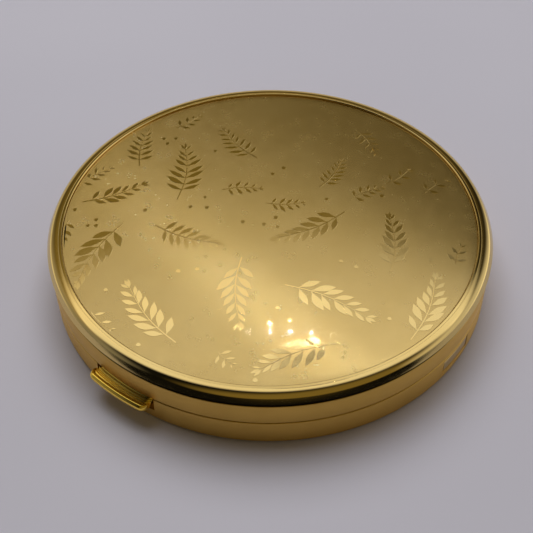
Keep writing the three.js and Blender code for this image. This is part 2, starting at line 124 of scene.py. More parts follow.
GAP = 0.05                        # left between pieces that lie against each other
TUCK = 0.01                       # how far a joined shape stays inside its neighbour's faces

ROUND = 256                       # facets round the large turned pieces
SMALL = 40                        # facets round pins, knuckles and rivets
SMOOTH_ANGLE = math.radians(32)

# ---------- Sections and meshes ----------


def arc(centre_r, centre_z, radius, start, end, steps):
    """Points of an arc in a section, angles in degrees from the outward direction towards +Z."""
    angles = [math.radians(start + (end - start) * i / steps) for i in range(steps + 1)]
    return [(centre_r + radius * math.cos(a), centre_z + radius * math.sin(a)) for a in angles]


def make_object(name, points, faces):
    """A mesh object from points in millimetres, welded, with its faces pointing out."""
    mesh = bpy.data.meshes.new(name)
    mesh.from_pydata([Vector(p) * MM for p in points], [], faces)
    obj = bpy.data.objects.new(name, mesh)
    bpy.context.scene.collection.objects.link(obj)
    clean(obj)
    return obj


def clean(obj, gap=1e-4):
    work = bmesh.new()
    work.from_mesh(obj.data)
    bmesh.ops.remove_doubles(work, verts=work.verts, dist=gap * MM)
    bmesh.ops.dissolve_degenerate(work, edges=work.edges, dist=gap * MM)
    bmesh.ops.recalc_face_normals(work, faces=work.faces)
    work.to_mesh(obj.data)
    work.free()


def upright(r, angle, z):
    return r * math.cos(angle), r * math.sin(angle), z


def circle(r, z, facets=ROUND, placed=upright):
    """Points all round an axis."""
    return [placed(r, math.tau * i / facets, z) for i in range(facets)]


def strip(near, far, count):
    """Faces between two rings of points, which start at near and at far."""
    return [(near + i, near + (i + 1) % count, far + (i + 1) % count, far + i) for i in range(count)]


def turned(name, section, facets=ROUND, placed=upright):
    """A closed body turned about an axis from a closed section of (radius, height) points."""
    points, rings = [], []
    for r, z in section:
        if r < 1e-6:
            rings.append([len(points)] * facets)
            points.append(placed(0, 0, z))
            continue
        rings.append(list(range(len(points), len(points) + facets)))
        points += circle(r, z, facets, placed)
    faces = []
    for lower, upper in zip(rings, rings[1:] + rings[:1]):
        if lower[0] == lower[1] and upper[0] == upper[1]:
            continue
        for i in range(facets):
            j = (i + 1) % facets
            faces.append(list(dict.fromkeys((lower[i], lower[j], upper[j], upper[i]))))
    return make_object(name, points, faces)


def turned_sector(name, section, middle, half_angle, steps, corner=0.0):
    """Part of a turn about Z, round the angle middle, with its outer corners rounded in plan."""
    root = min(r for r, _ in section)
    reach = max(r for r, _ in section)
    foot = min(z for _, z in section)
    half = math.radians(half_angle) * reach
    points = []
    for i in range(steps + 1):
        along = -half * math.cos(math.pi * i / steps)
        from_end = half - abs(along)
        drop, sink = 0.0, 1.0
        if corner and from_end < corner:
            drop = corner - (corner ** 2 - (corner - from_end) ** 2) ** 0.5
            sink = 1 - 0.3 * (drop / corner) ** 1.5
        shrink = 1 - drop / (reach - root)
        angle = math.radians(middle) + along / reach
        points += [
            upright(root + (r - root) * shrink, angle, foot + (z - foot) * sink) for r, z in section
        ]
    return make_object(name, points, skin_faces(steps + 1, len(section)))


def skin_faces(stations, count):
    """Faces that join rings of points into a closed body with an end at each side."""
    faces = [list(range(count)), list(range((stations - 1) * count, stations * count))]
    for s in range(stations - 1):
        faces += strip(s * count, (s + 1) * count, count)
    return faces


def along_x(name, section, x0, x1):
    """A closed section of (y, z) points, run along X."""
    points = [(x, y, z) for x in (x0, x1) for y, z in section]
    return make_object(name, points, skin_faces(2, len(section)))


def block(name, low, high):
    (x0, y0, z0), (x1, y1, z1) = low, high
    return along_x(name, ((y0, z0), (y1, z0), (y1, z1), (y0, z1)), x0, x1)


def rod_x(name, y, z, radius, x0, x1, ease=0.0, facets=SMALL):
    """A rod along X, its ends rounded over by ease."""
    section = [(0, x0)]
    if ease:
        section += arc(radius - ease, x0 + ease, ease, -90, 0, 3)
        section += arc(radius - ease, x1 - ease, ease, 0, 90, 3)
    else:
        section += [(radius, x0), (radius, x1)]
    section.append((0, x1))
    return turned(
        name, section, facets, lambda r, a, x: (x, y + r * math.cos(a), z + r * math.sin(a))
    )


def turned_at(name, section, x, y, facets=SMALL):
    return turned(
        name, section, facets, lambda r, a, z: (x + r * math.cos(a), y + r * math.sin(a), z)
    )


def rod_z(name, x, y, radius, z0, z1):
    return turned_at(name, [(0, z0), (radius, z0), (radius, z1), (0, z1)], x, y)


def rivet_holes(place, radius, z0, z1):
    """Cutters for a pair of rivets, one at each side."""
    return [rod_z("hole", side * place[0], place[1], radius, z0, z1) for side in (-1, 1)]


def rivet(name, x, y, shank, z0, z1, head, below, above):
    """A rivet along Z, with a domed head at each end that has a head height."""
    def dome(height, foot, turn):
        steps = 6
        angles = [math.pi / 2 * i / steps for i in range(steps + 1)]
        return [(head * math.cos(a), foot + turn * height * math.sin(a)) for a in angles]

    section = dome(below, z0, -1)[::-1] if below else [(0, z0)]
    section += [(shank, z0), (shank, z1)]
    section += dome(above, z1, 1) if above else [(0, z1)]
    return turned_at(name, section, x, y)


def wire(name, points, radius, sides=12):
    """A round wire along a list of points, with rounded ends."""
    path = [Vector(p) for p in points]
    ahead = (path[1] - path[0]).normalized()
    side = ahead.orthogonal().normalized()
    rings = []
    for i, p in enumerate(path):
        before, after = path[max(i - 1, 0)], path[min(i + 1, len(path) - 1)]
        ahead = (after - before).normalized()
        side = (side - side.dot(ahead) * ahead).normalized()
        up = ahead.cross(side)
        size = radius * (0.6 if i in (0, len(path) - 1) else 1.0)
        for k in range(sides):
            a = math.tau * k / sides
            rings.append(p + size * (math.cos(a) * side + math.sin(a) * up))
    return make_object(name, rings, skin_faces(len(path), sides))


def settle(obj):
    """Applies an object's modifiers."""
    bpy.context.view_layer.update()
    graph = bpy.context.evaluated_depsgraph_get()
    mesh = bpy.data.meshes.new_from_object(obj.evaluated_get(graph))
    obj.modifiers.clear()
    obj.data = mesh
    return obj


def combine(obj, others, operation):
    for other in others:
        step = obj.modifiers.new(operation, "BOOLEAN")
        step.operation = operation
        step.solver = "EXACT"
        step.object = other
        settle(obj)
        bpy.data.objects.remove(other)
    clean(obj)
    return obj


def carve(obj, *cutters):
    return combine(obj, cutters, "DIFFERENCE")


def fuse(obj, *others):
    return combine(obj, others, "UNION")


def smooth(obj):
    obj.data.shade_smooth()
    obj.data.set_sharp_from_angle(angle=SMOOTH_ANGLE)


# ---------- Base ----------


def base_shell():
    """Cup with a rounded corner, a shallow turned ring under it and fine turned lines."""
    corner, ring_inner, ring_outer, ring_depth, edge = 0.9, 33.0, 33.8, 0.2, 0.18
    section = [(0, 0), (ring_inner, 0), (ring_inner + ring_depth, ring_depth)]
    section += [(ring_outer - ring_depth, ring_depth), (ring_outer, 0)]
    section += arc(WALL_RADIUS - corner, corner, corner, -90, 0, 10)
    section += arc(WALL_RADIUS - edge, BASE_TOP - edge, edge, 0, 90, 5)
    section += [(WALL_INSIDE, BASE_TOP)]
    section += arc(WALL_INSIDE - FLOOR, 2 * FLOOR, FLOOR, 0, -90, 6)
    section += [(0, FLOOR)]
    top = BASE_TOP + 1
    gap = LUG_HALF + LUG_GAP
    low, high = LUG_BOTTOM - LUG_GAP, LUG_TOP + LUG_GAP
    windows = [block("window", (x - 2, -gap, low), (x + 2, gap, high)) for x in (-42, 42)]
    return carve(
        turned("base_shell_fine", section),
        block("notch", (-NOTCH_HALF, -44, NOTCH_BOTTOM), (NOTCH_HALF, -39, top)),
        block("slot", (-HINGE_SLOT_HALF, 39, HINGE_SLOT_BOTTOM), (HINGE_SLOT_HALF, 44, top)),
        *windows,
    )


def inner_frame():
    """Sheet that carries the hinges and the well, with a lip for the lid and a lug at each side."""
    sheet, skirt_bottom, ledge_inner = 0.5, 1.9, 31.5
    well_bottom = FLOOR + GAP
    flange_bottom = FLANGE_TOP - sheet
    lip_inner = LIP_OUTER - sheet
    section = [
        (ledge_inner, well_bottom),
        (WELL_INNER + sheet, well_bottom),
        (WELL_INNER + sheet, flange_bottom),
        (lip_inner, flange_bottom),
        (lip_inner, skirt_bottom),
        (LIP_OUTER, skirt_bottom),
    ]
    section += arc(LIP_OUTER - sheet / 2, LIP_TOP - sheet / 2, sheet / 2, 0, 180, 10)
    section += arc(lip_inner - 0.3, FLANGE_TOP + 0.3, 0.3, 0, -90, 4)
    section += arc(BEAD_OUTER + 0.2, FLANGE_TOP + 0.2, 0.2, -90, -180, 3)
    bead = (BEAD_OUTER - WELL_INNER) / 2
    section += arc(BEAD_OUTER - bead, BEAD_TOP - bead, bead, 0, 180, 12)
    section += [(WELL_INNER, well_bottom + 0.3), (ledge_inner, well_bottom + 0.3)]
    ring = turned("inner_frame_fine", section)
    lug_section = [
        (LIP_OUTER - 0.3, LUG_BOTTOM),
        (LUG_RADIUS - 0.15, LUG_BOTTOM),
        (LUG_RADIUS, LUG_BOTTOM + 0.15),
        (LUG_RADIUS, LUG_TOP - 0.15),
        (LUG_RADIUS - 0.15, LUG_TOP),
        (LIP_OUTER - 0.3, LUG_TOP),
    ]
    spread = math.degrees(math.asin(LUG_HALF / LUG_RADIUS))
    lugs = [turned_sector("lug", lug_section, a, spread, 12) for a in (0, 180)]
    fuse(ring, *lugs)
    return carve(
        ring,
        block("catch_space", (-8.0, -43, FLOOR - 0.3), (8.0, -35.6, LIP_TOP + 1)),
        block("hinge_space", (-10.6, 39.3, FLANGE_TOP - 0.02), (10.6, 43, LIP_TOP + 1)),
        *rivet_holes(HINGE_RIVET, 0.65, 3, 5.2),
    )


def powder_pan():
    sheet, corner = 0.4, 0.7
    radius, bottom, top = round_size("powder_pan")
    section = [(0, bottom)]
    section += arc(radius - corner, bottom + corner, corner, -90, 0, 6)
    section += arc(radius - sheet / 2, top - sheet / 2, sheet / 2, 0, 180, 6)
    section += arc(radius - corner, bottom + corner, corner - sheet, 0, -90, 5)
    section += [(0, bottom + sheet)]
    return turned("powder_pan_fine", section)


def powder_cake():
    """Pressed powder: a low crown, a ring and a diamond lattice pressed into it, used a little."""
    radius, bottom, top = round_size("powder_cake")
    crown = 0.35
    edge_top = top - crown
    lattice_radius, pitch, depth, line_half = 24.0, 2.6, 0.11, 0.35
    ring_radius, ring_half = 27.5, 0.7
    worn, worn_spread, worn_depth = Vector((6.0, -9.0)), 11.0, 0.14
    step = 0.4
    rings = int((radius - 0.5) / step)

    def press(x, y):
        r = math.hypot(x, y)
        z = edge_top + crown * (1 - (r / radius) ** 2)
        wear = math.exp(-(((Vector((x, y)) - worn).length / worn_spread) ** 2))
        z -= worn_depth * wear
        if abs(r - ring_radius) < ring_half:
            z -= depth * (0.5 + 0.5 * math.cos(math.pi * (r - ring_radius) / ring_half)) * (1 - wear)
        if r < lattice_radius:
            fade = min(1.0, (lattice_radius - r) / 0.8) * (1 - 0.8 * wear)
            for u in (x + y, x - y):
                near = abs((u / 2 ** 0.5 / pitch) % 1 - 0.5) * pitch
                z -= depth * fade * max(0.0, 1 - near / line_half)
        return z

    points = [(0, 0, press(0, 0))]
    for i in range(rings):
        points += [(x, y, press(x, y)) for x, y, _ in circle(step * (i + 1), 0)]
    rim = [(radius - 0.25, edge_top), (radius, edge_top - 0.25)]
    rim += [(radius, bottom + 0.3), (radius - 0.3, bottom)]
    for r, z in rim:
        points += circle(r, z)
    points.append((0, 0, bottom))
    faces = [(0, 1 + i, 1 + (i + 1) % ROUND) for i in range(ROUND)]
    for ring in range(rings + len(rim) - 1):
        faces += strip(1 + ring * ROUND, 1 + (ring + 1) * ROUND, ROUND)
    last, base = len(points) - 1, 1 + (rings + len(rim) - 1) * ROUND
    faces += [(base + i, base + (i + 1) % ROUND, last) for i in range(ROUND)]
    return make_object("powder_cake_fine", points, faces)


# ---------- Thumb catch ----------


def thumb_catch():
    """Arched thumb bar with ribs along it and a rounded lip, on an arm with cheeks and a hook."""
    face, lip_radius, root, ribs = 5.22, 0.62, 40.6, (43.42, 42.84, 42.26, 41.68)
    lip = -box_mm("thumb_catch")[0].y - lip_radius
    section = [(root, ARM_BOTTOM), (lip, ARM_BOTTOM)]
    section += arc(lip, ARM_BOTTOM + lip_radius, lip_radius, -80, 0, 5)
    section += arc(lip, face - 0.22, lip_radius, 10, 165, 12)
    for r in ribs:
        section += [(r + 0.02, face - 0.04), (r - 0.08, face - 0.13), (r - 0.13, face - 0.13)]
        section += arc(r - 0.37, face - 0.12, 0.16, 20, 160, 6)
    section += [(root + 0.45, face - 0.1), (root + 0.35, ARM_TOP), (root, ARM_TOP)]
    bar = turned_sector("thumb_catch_fine", section, -90, CATCH_SPREAD, 64, 1.3)
    parts = [block("arm", (-CATCH_HALF, -41.0, ARM_BOTTOM + TUCK), (CATCH_HALF, -37.3, ARM_TOP - TUCK))]
    for x0, x1 in ((-CATCH_HALF, -2.5), (2.5, CATCH_HALF)):
        parts.append(rod_x("cheek", CATCH.y, CATCH.z, CATCH.radius, x0, x1, 0.15))
        low = (x0 + TUCK, CATCH.y - 0.7, CATCH.z)
        parts.append(block("web", low, (x1 - TUCK, CATCH.y + 0.7, ARM_BOTTOM + 0.2)))
    outer, inner, nose, bite, top = -39.0, -38.4, -37.7, 7.7, 8.4
    hook = [(outer, ARM_BOTTOM + 2 * TUCK), (inner, ARM_BOTTOM + 2 * TUCK), (inner, bite)]
    hook += [(nose, bite), (nose, bite + 0.2), (inner - 0.05, top), (outer + 0.1, top), (outer, top - 0.1)]
    parts.append(along_x("hook", hook, -1.8, 1.8))
    fuse(bar, *parts)
    return carve(bar, bore(CATCH))


def catch_bracket():
    bottom, half, sheet, front, back = FLOOR + GAP, 7.0, 0.5, -39.6, -35.9
    plate = block("catch_bracket_fine", (-half, front, bottom), (half, back, bottom + sheet))
    ear = [(front + 0.4, bottom + TUCK), (back - 0.9, bottom + TUCK), (back - 0.9, CATCH.z)]
    ear += arc(CATCH.y, CATCH.z, 1.2, 20, 160, 14) + [(front + 0.4, CATCH.z)]
    fuse(plate, along_x("ear", ear, -half, sheet - half), along_x("ear", ear, half - sheet, half))
    return carve(plate, bore(CATCH), *rivet_holes(CATCH_RIVET, 0.6, 0, 3))


def coil_spring(name, line, coil, half, radius, start, leg):
    """Torsion spring round a pin, with a leg at its first end."""
    turns, per_turn = 5, 40
    points = [leg]
    for i in range(turns * per_turn + 1):
        angle = math.radians(start) + math.tau * i / per_turn
        x = -half + 2 * half * i / (turns * per_turn)
        points.append((x, line.y + coil * math.cos(angle), line.z + coil * math.sin(angle)))
    return wire(name, points, radius)


def catch_spring():
    leg = (-1.9, CATCH.y + 1.7, CATCH.z - 1.1)
    return coil_spring("catch_spring_fine", CATCH, 0.97, 1.9, 0.17, -80, leg)


# ---------- Hinges ----------


def knuckle(line, x0, x1):
    return rod_x("knuckle", line.y, line.z, line.radius, x0, x1, 0.12)


def bore(line):
    return rod_x("bore", line.y, line.z, line.bore, -line.half - 1, line.half + 1)


def base_hinge_plate():
    bottom = FLANGE_TOP + GAP
    top = bottom + 0.5
    plate = block("base_hinge_plate_fine", (-9.6, 37.3, bottom), (9.6, 39.35, top))
    parts = []
    for x0, x1 in BASE_KNUCKLES:
        parts.append(block("tail", (x0 + TUCK, 39.2, bottom + TUCK), (x1 - TUCK, HINGE.y, top - TUCK)))
        parts.append(knuckle(HINGE, x0, x1))
    for x0, x1 in DOOR_BASE_KNUCKLES:
        low, high = (x0 + TUCK, DOOR_HINGE.y, bottom + 0.02), (x1 - TUCK, 37.5, top + 0.3)
        parts.append(block("tail", low, high))
        parts.append(knuckle(DOOR_HINGE, x0, x1))
    fuse(plate, *parts)
    return carve(plate, bore(HINGE), bore(DOOR_HINGE), *rivet_holes(HINGE_RIVET, 0.65, 3, 7))


def lid_hinge_plate():
    inner, outer, half = 39.7, 40.2, 7.4
    foot, flange_top = HINGE.z + 1.0, LEDGE_BOTTOM - GAP
    upper = [(36.9, flange_top - 0.5), (inner, flange_top - 0.5), (inner, foot), (outer, foot)]
    upper += arc(outer - 0.5, flange_top - 0.5, 0.5, 0, 90, 5) + [(36.9, flange_top)]
    plate = along_x("lid_hinge_plate_fine", upper, -half, half)
    parts = []
    for x0, x1 in LID_KNUCKLES:
        tail = [(inner + TUCK, HINGE.z - 0.4), (HINGE.y - 0.7, HINGE.z - 0.4)]
        tail += [(HINGE.y - 0.7, HINGE.z + 0.4), (outer - TUCK, HINGE.z + 0.4)]
        tail += [(outer - TUCK, foot + 0.3), (inner + TUCK, foot + 0.3)]
        parts.append(along_x("tail", tail, x0 + TUCK, x1 - TUCK))
        parts.append(knuckle(HINGE, x0, x1))
    fuse(plate, *parts)
    return carve(plate, bore(HINGE), *rivet_holes(HINGE_RIVET, 0.6, 10, 12))


def pin(name, line):
    return rod_x(name, line.y, line.z, line.pin, -line.half, line.half, 0.15)


def inner_lid_spring():
    leg = (-1.9, DOOR_HINGE.y - 0.7, DOOR_HINGE.z - 1.15)
    return coil_spring("inner_lid_spring_fine", DOOR_HINGE, 0.68, 1.9, 0.14, -90, leg)


# ---------- Inner lid, puff and ribbon ----------

DOOR_SHEET, DOOR_TOP, DOOR_RISE = 0.45, 5.75, 0.5
DOOR_RADIUS, DOOR_BOTTOM, _ = round_size("inner_lid")


def door_height(r):
    """Top of the inner lid: a flat border round a low dome."""
    share = min(r / (DOOR_RADIUS * 0.86), 1.0)
    return DOOR_TOP + DOOR_RISE * (1 - share ** 2) ** 1.3


def inner_lid():
    radius, lip_bottom, lip_sheet = DOOR_RADIUS, max(DOOR_BOTTOM, 4.9), 0.4
    across = [radius * 0.94 * i / 40 for i in range(41)]
    section = [(r, door_height(r) - DOOR_SHEET) for r in across]
    section += arc(radius - lip_sheet - 0.2, DOOR_TOP - DOOR_SHEET - 0.2, 0.2, 90, 0, 3)
    section += [(radius - lip_sheet, lip_bottom), (radius, lip_bottom)]
    section += arc(radius - 0.35, DOOR_TOP - 0.35, 0.35, 0, 90, 6)
    section += [(r, door_height(r)) for r in reversed(across)]
    disc = turned("inner_lid_fine", section)
    tab = [(-35.0, DOOR_TOP - DOOR_SHEET + TUCK), (-36.0, DOOR_TOP - DOOR_SHEET + TUCK)]
    tab += [(-36.2, DOOR_TOP - 0.3), (-36.1, DOOR_TOP - 0.1)]
    tab += [(-35.9, DOOR_TOP - 0.05), (-35.0, DOOR_TOP - 0.05)]
    parts = [along_x("tab", tab, -4.0, 4.0)]
    for x0, x1 in DOOR_KNUCKLES:
        low = (x0 + TUCK, 34.4, DOOR_TOP - DOOR_SHEET + 0.05)
        high = (x1 - TUCK, DOOR_HINGE.y - 0.5, DOOR_TOP - 0.02)
        parts.append(block("tail", low, high))
        parts.append(knuckle(DOOR_HINGE, x0, x1))
    fuse(disc, *parts)
    return carve(disc, bore(DOOR_HINGE))


PUFF_SCALE = 10                   # the puff is simulated at ten times its size
PUFF_SEAM_INSET = 0.5             # from the edge of the piping to the pad's seam


def swell(obj, pressure, frames, cap):
    """Swells a closed cloth mesh, made PUFF_SCALE times its size, and caps how far it moves."""
    rest = [v.co.copy() for v in obj.data.vertices]
    cloth = obj.modifiers.new("swell", "CLOTH")
    feel = cloth.settings
    feel.quality = 6
    feel.mass = 0.3
    feel.tension_stiffness = feel.compression_stiffness = 12
    feel.bending_stiffness = 0.4
    feel.use_pressure = True
    feel.uniform_pressure_force = pressure
    feel.effector_weights.gravity = 0
    feel.vertex_group_mass = "held"
    cloth.collision_settings.use_collision = False
    cloth.point_cache.frame_start = 1
    cloth.point_cache.frame_end = frames
    scene = bpy.context.scene
    for moment in range(1, frames + 1):
        scene.frame_set(moment)
    settle(obj)
    scene.frame_set(1)
    for vertex, start in zip(obj.data.vertices, rest):
        move = vertex.co - start
        if move.length > cap * MM * PUFF_SCALE:
            vertex.co = start + move.normalized() * cap * MM * PUFF_SCALE
    return obj


def puff_pad():
    """A round velour pad, sewn round its edge, swelled by simulation and puckered at the seam."""
    radius, bottom, top = round_size("puff_pad")
    middle, half = (bottom + top) / 2, (top - bottom) / 2
    swell_room = 0.45
    start_half = half - swell_room
    seam_radius = radius - PUFF_SEAM_INSET
    rings, facets = 30, 96

    def side(direction):
        """Heights from the centre out to the seam on one face."""
        radii = [seam_radius * i / rings for i in range(rings)]
        return [(r, middle + direction * start_half * (1 - (r / seam_radius) ** 6) ** 0.5) for r in radii]

    section = side(-1) + [(seam_radius, middle)] + side(1)[::-1]
    scaled = [(r * PUFF_SCALE, z * PUFF_SCALE) for r, z in section]
    pad = turned("puff_pad_fine", scaled, facets)
    held = pad.vertex_groups.new(name="held")
    at_seam = seam_radius * PUFF_SCALE * MM * 0.995
    seam = [v.index for v in pad.data.vertices if v.co.to_2d().length > at_seam]
    held.add(seam, 1.0, "REPLACE")
    swell(pad, 3.0, 18, swell_room)
    pad.data.transform(Matrix.Scale(1 / PUFF_SCALE, 4))
    shape_puff(pad, radius, middle, half)
    pad.vertex_groups.clear()
    rounder = pad.modifiers.new("round", "SUBSURF")
    rounder.levels = 1
    rounder.render_levels = 1
    return settle(pad)


def shape_puff(pad, radius, middle, half):
    """Gathers at the sewn edge, a soft unevenness, and no higher or lower than its space."""
    gathers = 44
    for vertex in pad.data.vertices:
        x, y, z = vertex.co / MM
        r, angle = math.hypot(x, y), math.atan2(y, x)
        from_edge = max(radius - PUFF_SEAM_INSET - r, 0.0)
        height = z - middle
        pucker = 0.16 * math.exp(-((from_edge - 1.2) / 1.3) ** 2) * math.cos(gathers * angle)
        pucker += 0.08 * math.exp(-from_edge / 3) * math.cos(17 * angle + 1.3)
        uneven = 0.05 * math.sin(0.31 * x + 0.7) * math.cos(0.27 * y - 0.4)
        if abs(height) > 0.02:
            height += math.copysign(1, height) * (pucker + uneven)
        height = max(-half, min(half, height))
        vertex.co.z = (middle + height) * MM


def puff_seam():
    """Piping sewn into the puff's edge, with a slight twist of cord."""
    radius, bottom, top = round_size("puff_pad")
    middle, cord, strands, facets, sides = (bottom + top) / 2, 0.42, 90, 720, 12
    points, faces = [], []
    for i in range(facets):
        turn = math.tau * i / facets
        for k in range(sides):
            a = math.tau * k / sides
            size = cord * (0.93 + 0.07 * math.cos(2 * a + strands * turn))
            r = radius - cord - 0.08 + size * math.cos(a)
            points.append(upright(r, turn, middle + size * math.sin(a)))
    for i in range(facets):
        faces += strip(i * sides, (i + 1) % facets * sides, sides)
    return make_object("puff_seam", points, faces)


RIBBON_HALF = 5.0
RIBBON_SHEET = 0.16
RIBBON_REACH, _, RIBBON_TOP = round_size("puff_ribbon")


def ribbon_height(x, y):
    """Middle of the ribbon, which lies over the puff and dips to the seam at its ends."""
    share = abs(x) / RIBBON_REACH
    lie = RIBBON_TOP - RIBBON_SHEET / 2 - 0.02
    sag = 0.05 * math.cos(math.pi * y / RIBBON_HALF) * share
    waves = (1 - math.cos(3.1 * math.pi * x / RIBBON_REACH)) / 2
    return lie - 0.16 * share ** 6 - 0.03 * waves + sag * 0.4


def puff_ribbon():
    """Satin ribbon across the puff, with a thicker woven edge at both sides."""
    along, across = 140, 20
    top, under = [], []
    for i in range(along + 1):
        x = -RIBBON_REACH + 2 * RIBBON_REACH * i / along
        for k in range(across + 1):
            share = 2 * k / across - 1
            y = RIBBON_HALF * share
            half = RIBBON_SHEET / 2 * (1.25 if abs(share) > 0.88 else 0.85)
            z = ribbon_height(x, y)
            top.append((x, y, z + half))
            under.append((x, y, z - half))
    wide, count = across + 1, len(top)
    faces = []
    for i in range(along):
        for k in range(across):
            a, d = i * wide + k, (i + 1) * wide + k
            faces += [(a, a + 1, d + 1, d), (a + count, a + 1 + count, d + 1 + count, d + count)]
    border = list(range(wide))
    border += [i * wide + across for i in range(1, along + 1)]
    border += [along * wide + k for k in reversed(range(across))]
    border += [i * wide for i in reversed(range(1, along))]
    faces += [(a, b, b + count, a + count) for a, b in zip(border, border[1:] + border[:1])]
    return make_object("puff_ribbon_fine", top + under, faces)


# ---------- Lid ----------

CREST_RADIUS = 40.2
SHOULDER_SLOPE = 34               # where the rim's curve ends, as degrees its normal rises
EDGE_SLOPE = 30                   # and along the straight flank below it
EDGE_HEIGHT = 11.3
CREST_FLATNESS = 2.0              # width of the curve as a share of its height
GROOVE_BOTTOM, GROOVE_TOP, GROOVE_DEPTH = 10.35, 11.2, 0.45
SEAT = PANEL_RADIUS + 0.07
WALL_STEP = 9.4


def rim_curve():
    """The rim from its edge up a straight flank and an elliptical curve to the crest."""
    foot = math.atan(math.tan(math.radians(SHOULDER_SLOPE)) / CREST_FLATNESS)
    lean = math.tan(math.radians(EDGE_SLOPE))
    across, drop = RIM_RADIUS - CREST_RADIUS, CREST_HEIGHT - EDGE_HEIGHT
    sunk = 1 - math.sin(foot)
    high = (across - lean * drop) / (CREST_FLATNESS * math.cos(foot) - lean * sunk)
    points = [(RIM_RADIUS, EDGE_HEIGHT)]
    steps = 40
    for i in range(steps):
        t = foot + (math.pi / 2 - foot) * i / steps
        r = CREST_RADIUS + CREST_FLATNESS * high * math.cos(t)
        points.append((r, CREST_HEIGHT - high * (1 - math.sin(t))))
    return points


def lid_frame():
    """Ring with a plain wall, a polished rim that turns down to an edge, and a bead round the seat."""
    bead, ledge_inner, upper_wall, edge = 0.2, 35.2, WALL_RADIUS - 0.03, 0.18
    section = [(WALL_INSIDE, LID_BOTTOM), (WALL_RADIUS - edge, LID_BOTTOM)]
    section += arc(WALL_RADIUS - edge, LID_BOTTOM + edge, edge, -75, 0, 5)
    section += [(WALL_RADIUS, WALL_STEP - 0.05), (upper_wall, WALL_STEP + 0.05)]
    section += arc(upper_wall - 0.1, GROOVE_BOTTOM - 0.1, 0.1, 0, 90, 3)
    section += [(upper_wall - GROOVE_DEPTH, GROOVE_BOTTOM), (upper_wall - GROOVE_DEPTH, GROOVE_TOP)]
    section += [(RIM_RADIUS - 0.08, GROOVE_TOP)] + rim_curve()
    section += [(CREST_RADIUS + 0.06, CREST_HEIGHT - 0.01), (CREST_RADIUS, CREST_HEIGHT - 0.06)]
    section += arc(SEAT + bead, CREST_HEIGHT - bead, bead, 75, 180, 10)
    section += [(SEAT, LEDGE_TOP), (ledge_inner, LEDGE_TOP), (ledge_inner, LEDGE_BOTTOM)]
    section += [(WALL_INSIDE - 0.3, LEDGE_BOTTOM), (WALL_INSIDE, LEDGE_BOTTOM - 0.3)]
    return carve(
        turned("lid_frame_fine", section, 2 * ROUND),
        block("slot", (-HINGE_SLOT_HALF, 39, LID_BOTTOM - 1), (HINGE_SLOT_HALF, 44, HINGE_SLOT_TOP)),
        rod_z("hole", 0, KEEPER_RIVET_Y, 0.6, 11, 13),
        *rivet_holes(HINGE_RIVET, 0.6, 11, 13),
    )


def dome(r):
    return PANEL_EDGE_TOP + PANEL_RISE * (1 - (r / PANEL_RADIUS) ** 2)


def lid_panel():
    """Sheet with the dome of a large sphere and an eased edge."""
    ease, rings = 0.09, 24
    flat_radius = PANEL_RADIUS - ease
    across = [flat_radius * i / rings for i in range(rings + 1)]
    section = [(r, dome(r) - PANEL_THICKNESS) for r in across]
    section += [(PANEL_RADIUS, dome(PANEL_RADIUS) - PANEL_THICKNESS + ease)]
    section += arc(flat_radius, dome(flat_radius) - ease, ease, 0, 75, 4)
    section += [(r, dome(r)) for r in reversed(across)]
    panel = turned("lid_panel_fine", section)
    brushing = panel.data.uv_layers.new(name="brushing")
    for loop in panel.data.loops:
        x, y, _ = panel.data.vertices[loop.vertex_index].co
        brushing.data[loop.index].uv = (x / MM / 100 + 0.5, y / MM / 100 + 0.5)
    return panel


def lid_keeper():
    half, top = 2.5, LEDGE_BOTTOM - GAP
    section = [(-39.6, top - 0.5), (-37.2, top - 0.5), (-37.2, 7.5), (-37.55, 7.3), (-37.55, 6.95)]
    section += [(-37.2, 6.8), (-36.8, 6.8)]
    section += arc(-37.3, top - 0.5, 0.5, 0, 90, 5) + [(-39.6, top)]
    keeper = along_x("lid_keeper_fine", section, -half, half)
    return carve(keeper, rod_z("hole", 0, KEEPER_RIVET_Y, 0.6, 10, 12))


def mirror_glass():
    radius, bottom, top = round_size("mirror_glass")
    bevel = 0.3
    section = [(0, bottom), (radius - bevel, bottom), (radius, bottom + bevel * 0.6)]
    section += [(radius, top), (0, top)]
    return turned("mirror_glass_fine", section)


def mirror_backing():
    radius, bottom, top = round_size("mirror_backing")
    section = [(0, bottom), (radius, bottom), (radius, top - 0.1), (radius - 0.1, top), (0, top)]
    return turned("mirror_backing_fine", section, 128)


def mirror_bezel():
    """Rolled ring that holds the mirror against the panel's ledge."""
    glass_radius, glass_bottom, _ = round_size("mirror_glass")
    outer, _, top = round_size("mirror_bezel")
    lip_inner, hole = glass_radius - 0.7, glass_radius + 0.3
    section = arc(lip_inner + 0.14, 10.09, 0.14, 180, 270, 4)
    section += arc(outer - 0.5, 10.45, 0.5, -90, 0, 8)
    section += [(outer, top), (hole, top), (hole, glass_bottom - GAP), (lip_inner, glass_bottom - GAP)]
    return turned("mirror_bezel_fine", section)


# ---------- Sprigs on the panel ----------

FERN, BROAD = "fern", "broad"
RELIEF = 0.035                    # how far the sprigs stand above the panel
RELIEF_SLOPE = 0.07               # width of their sloping sides
RELIEF_POINT = 0.012              # half width of the finest points
PATTERN_RADIUS = PANEL_RADIUS - 0.35

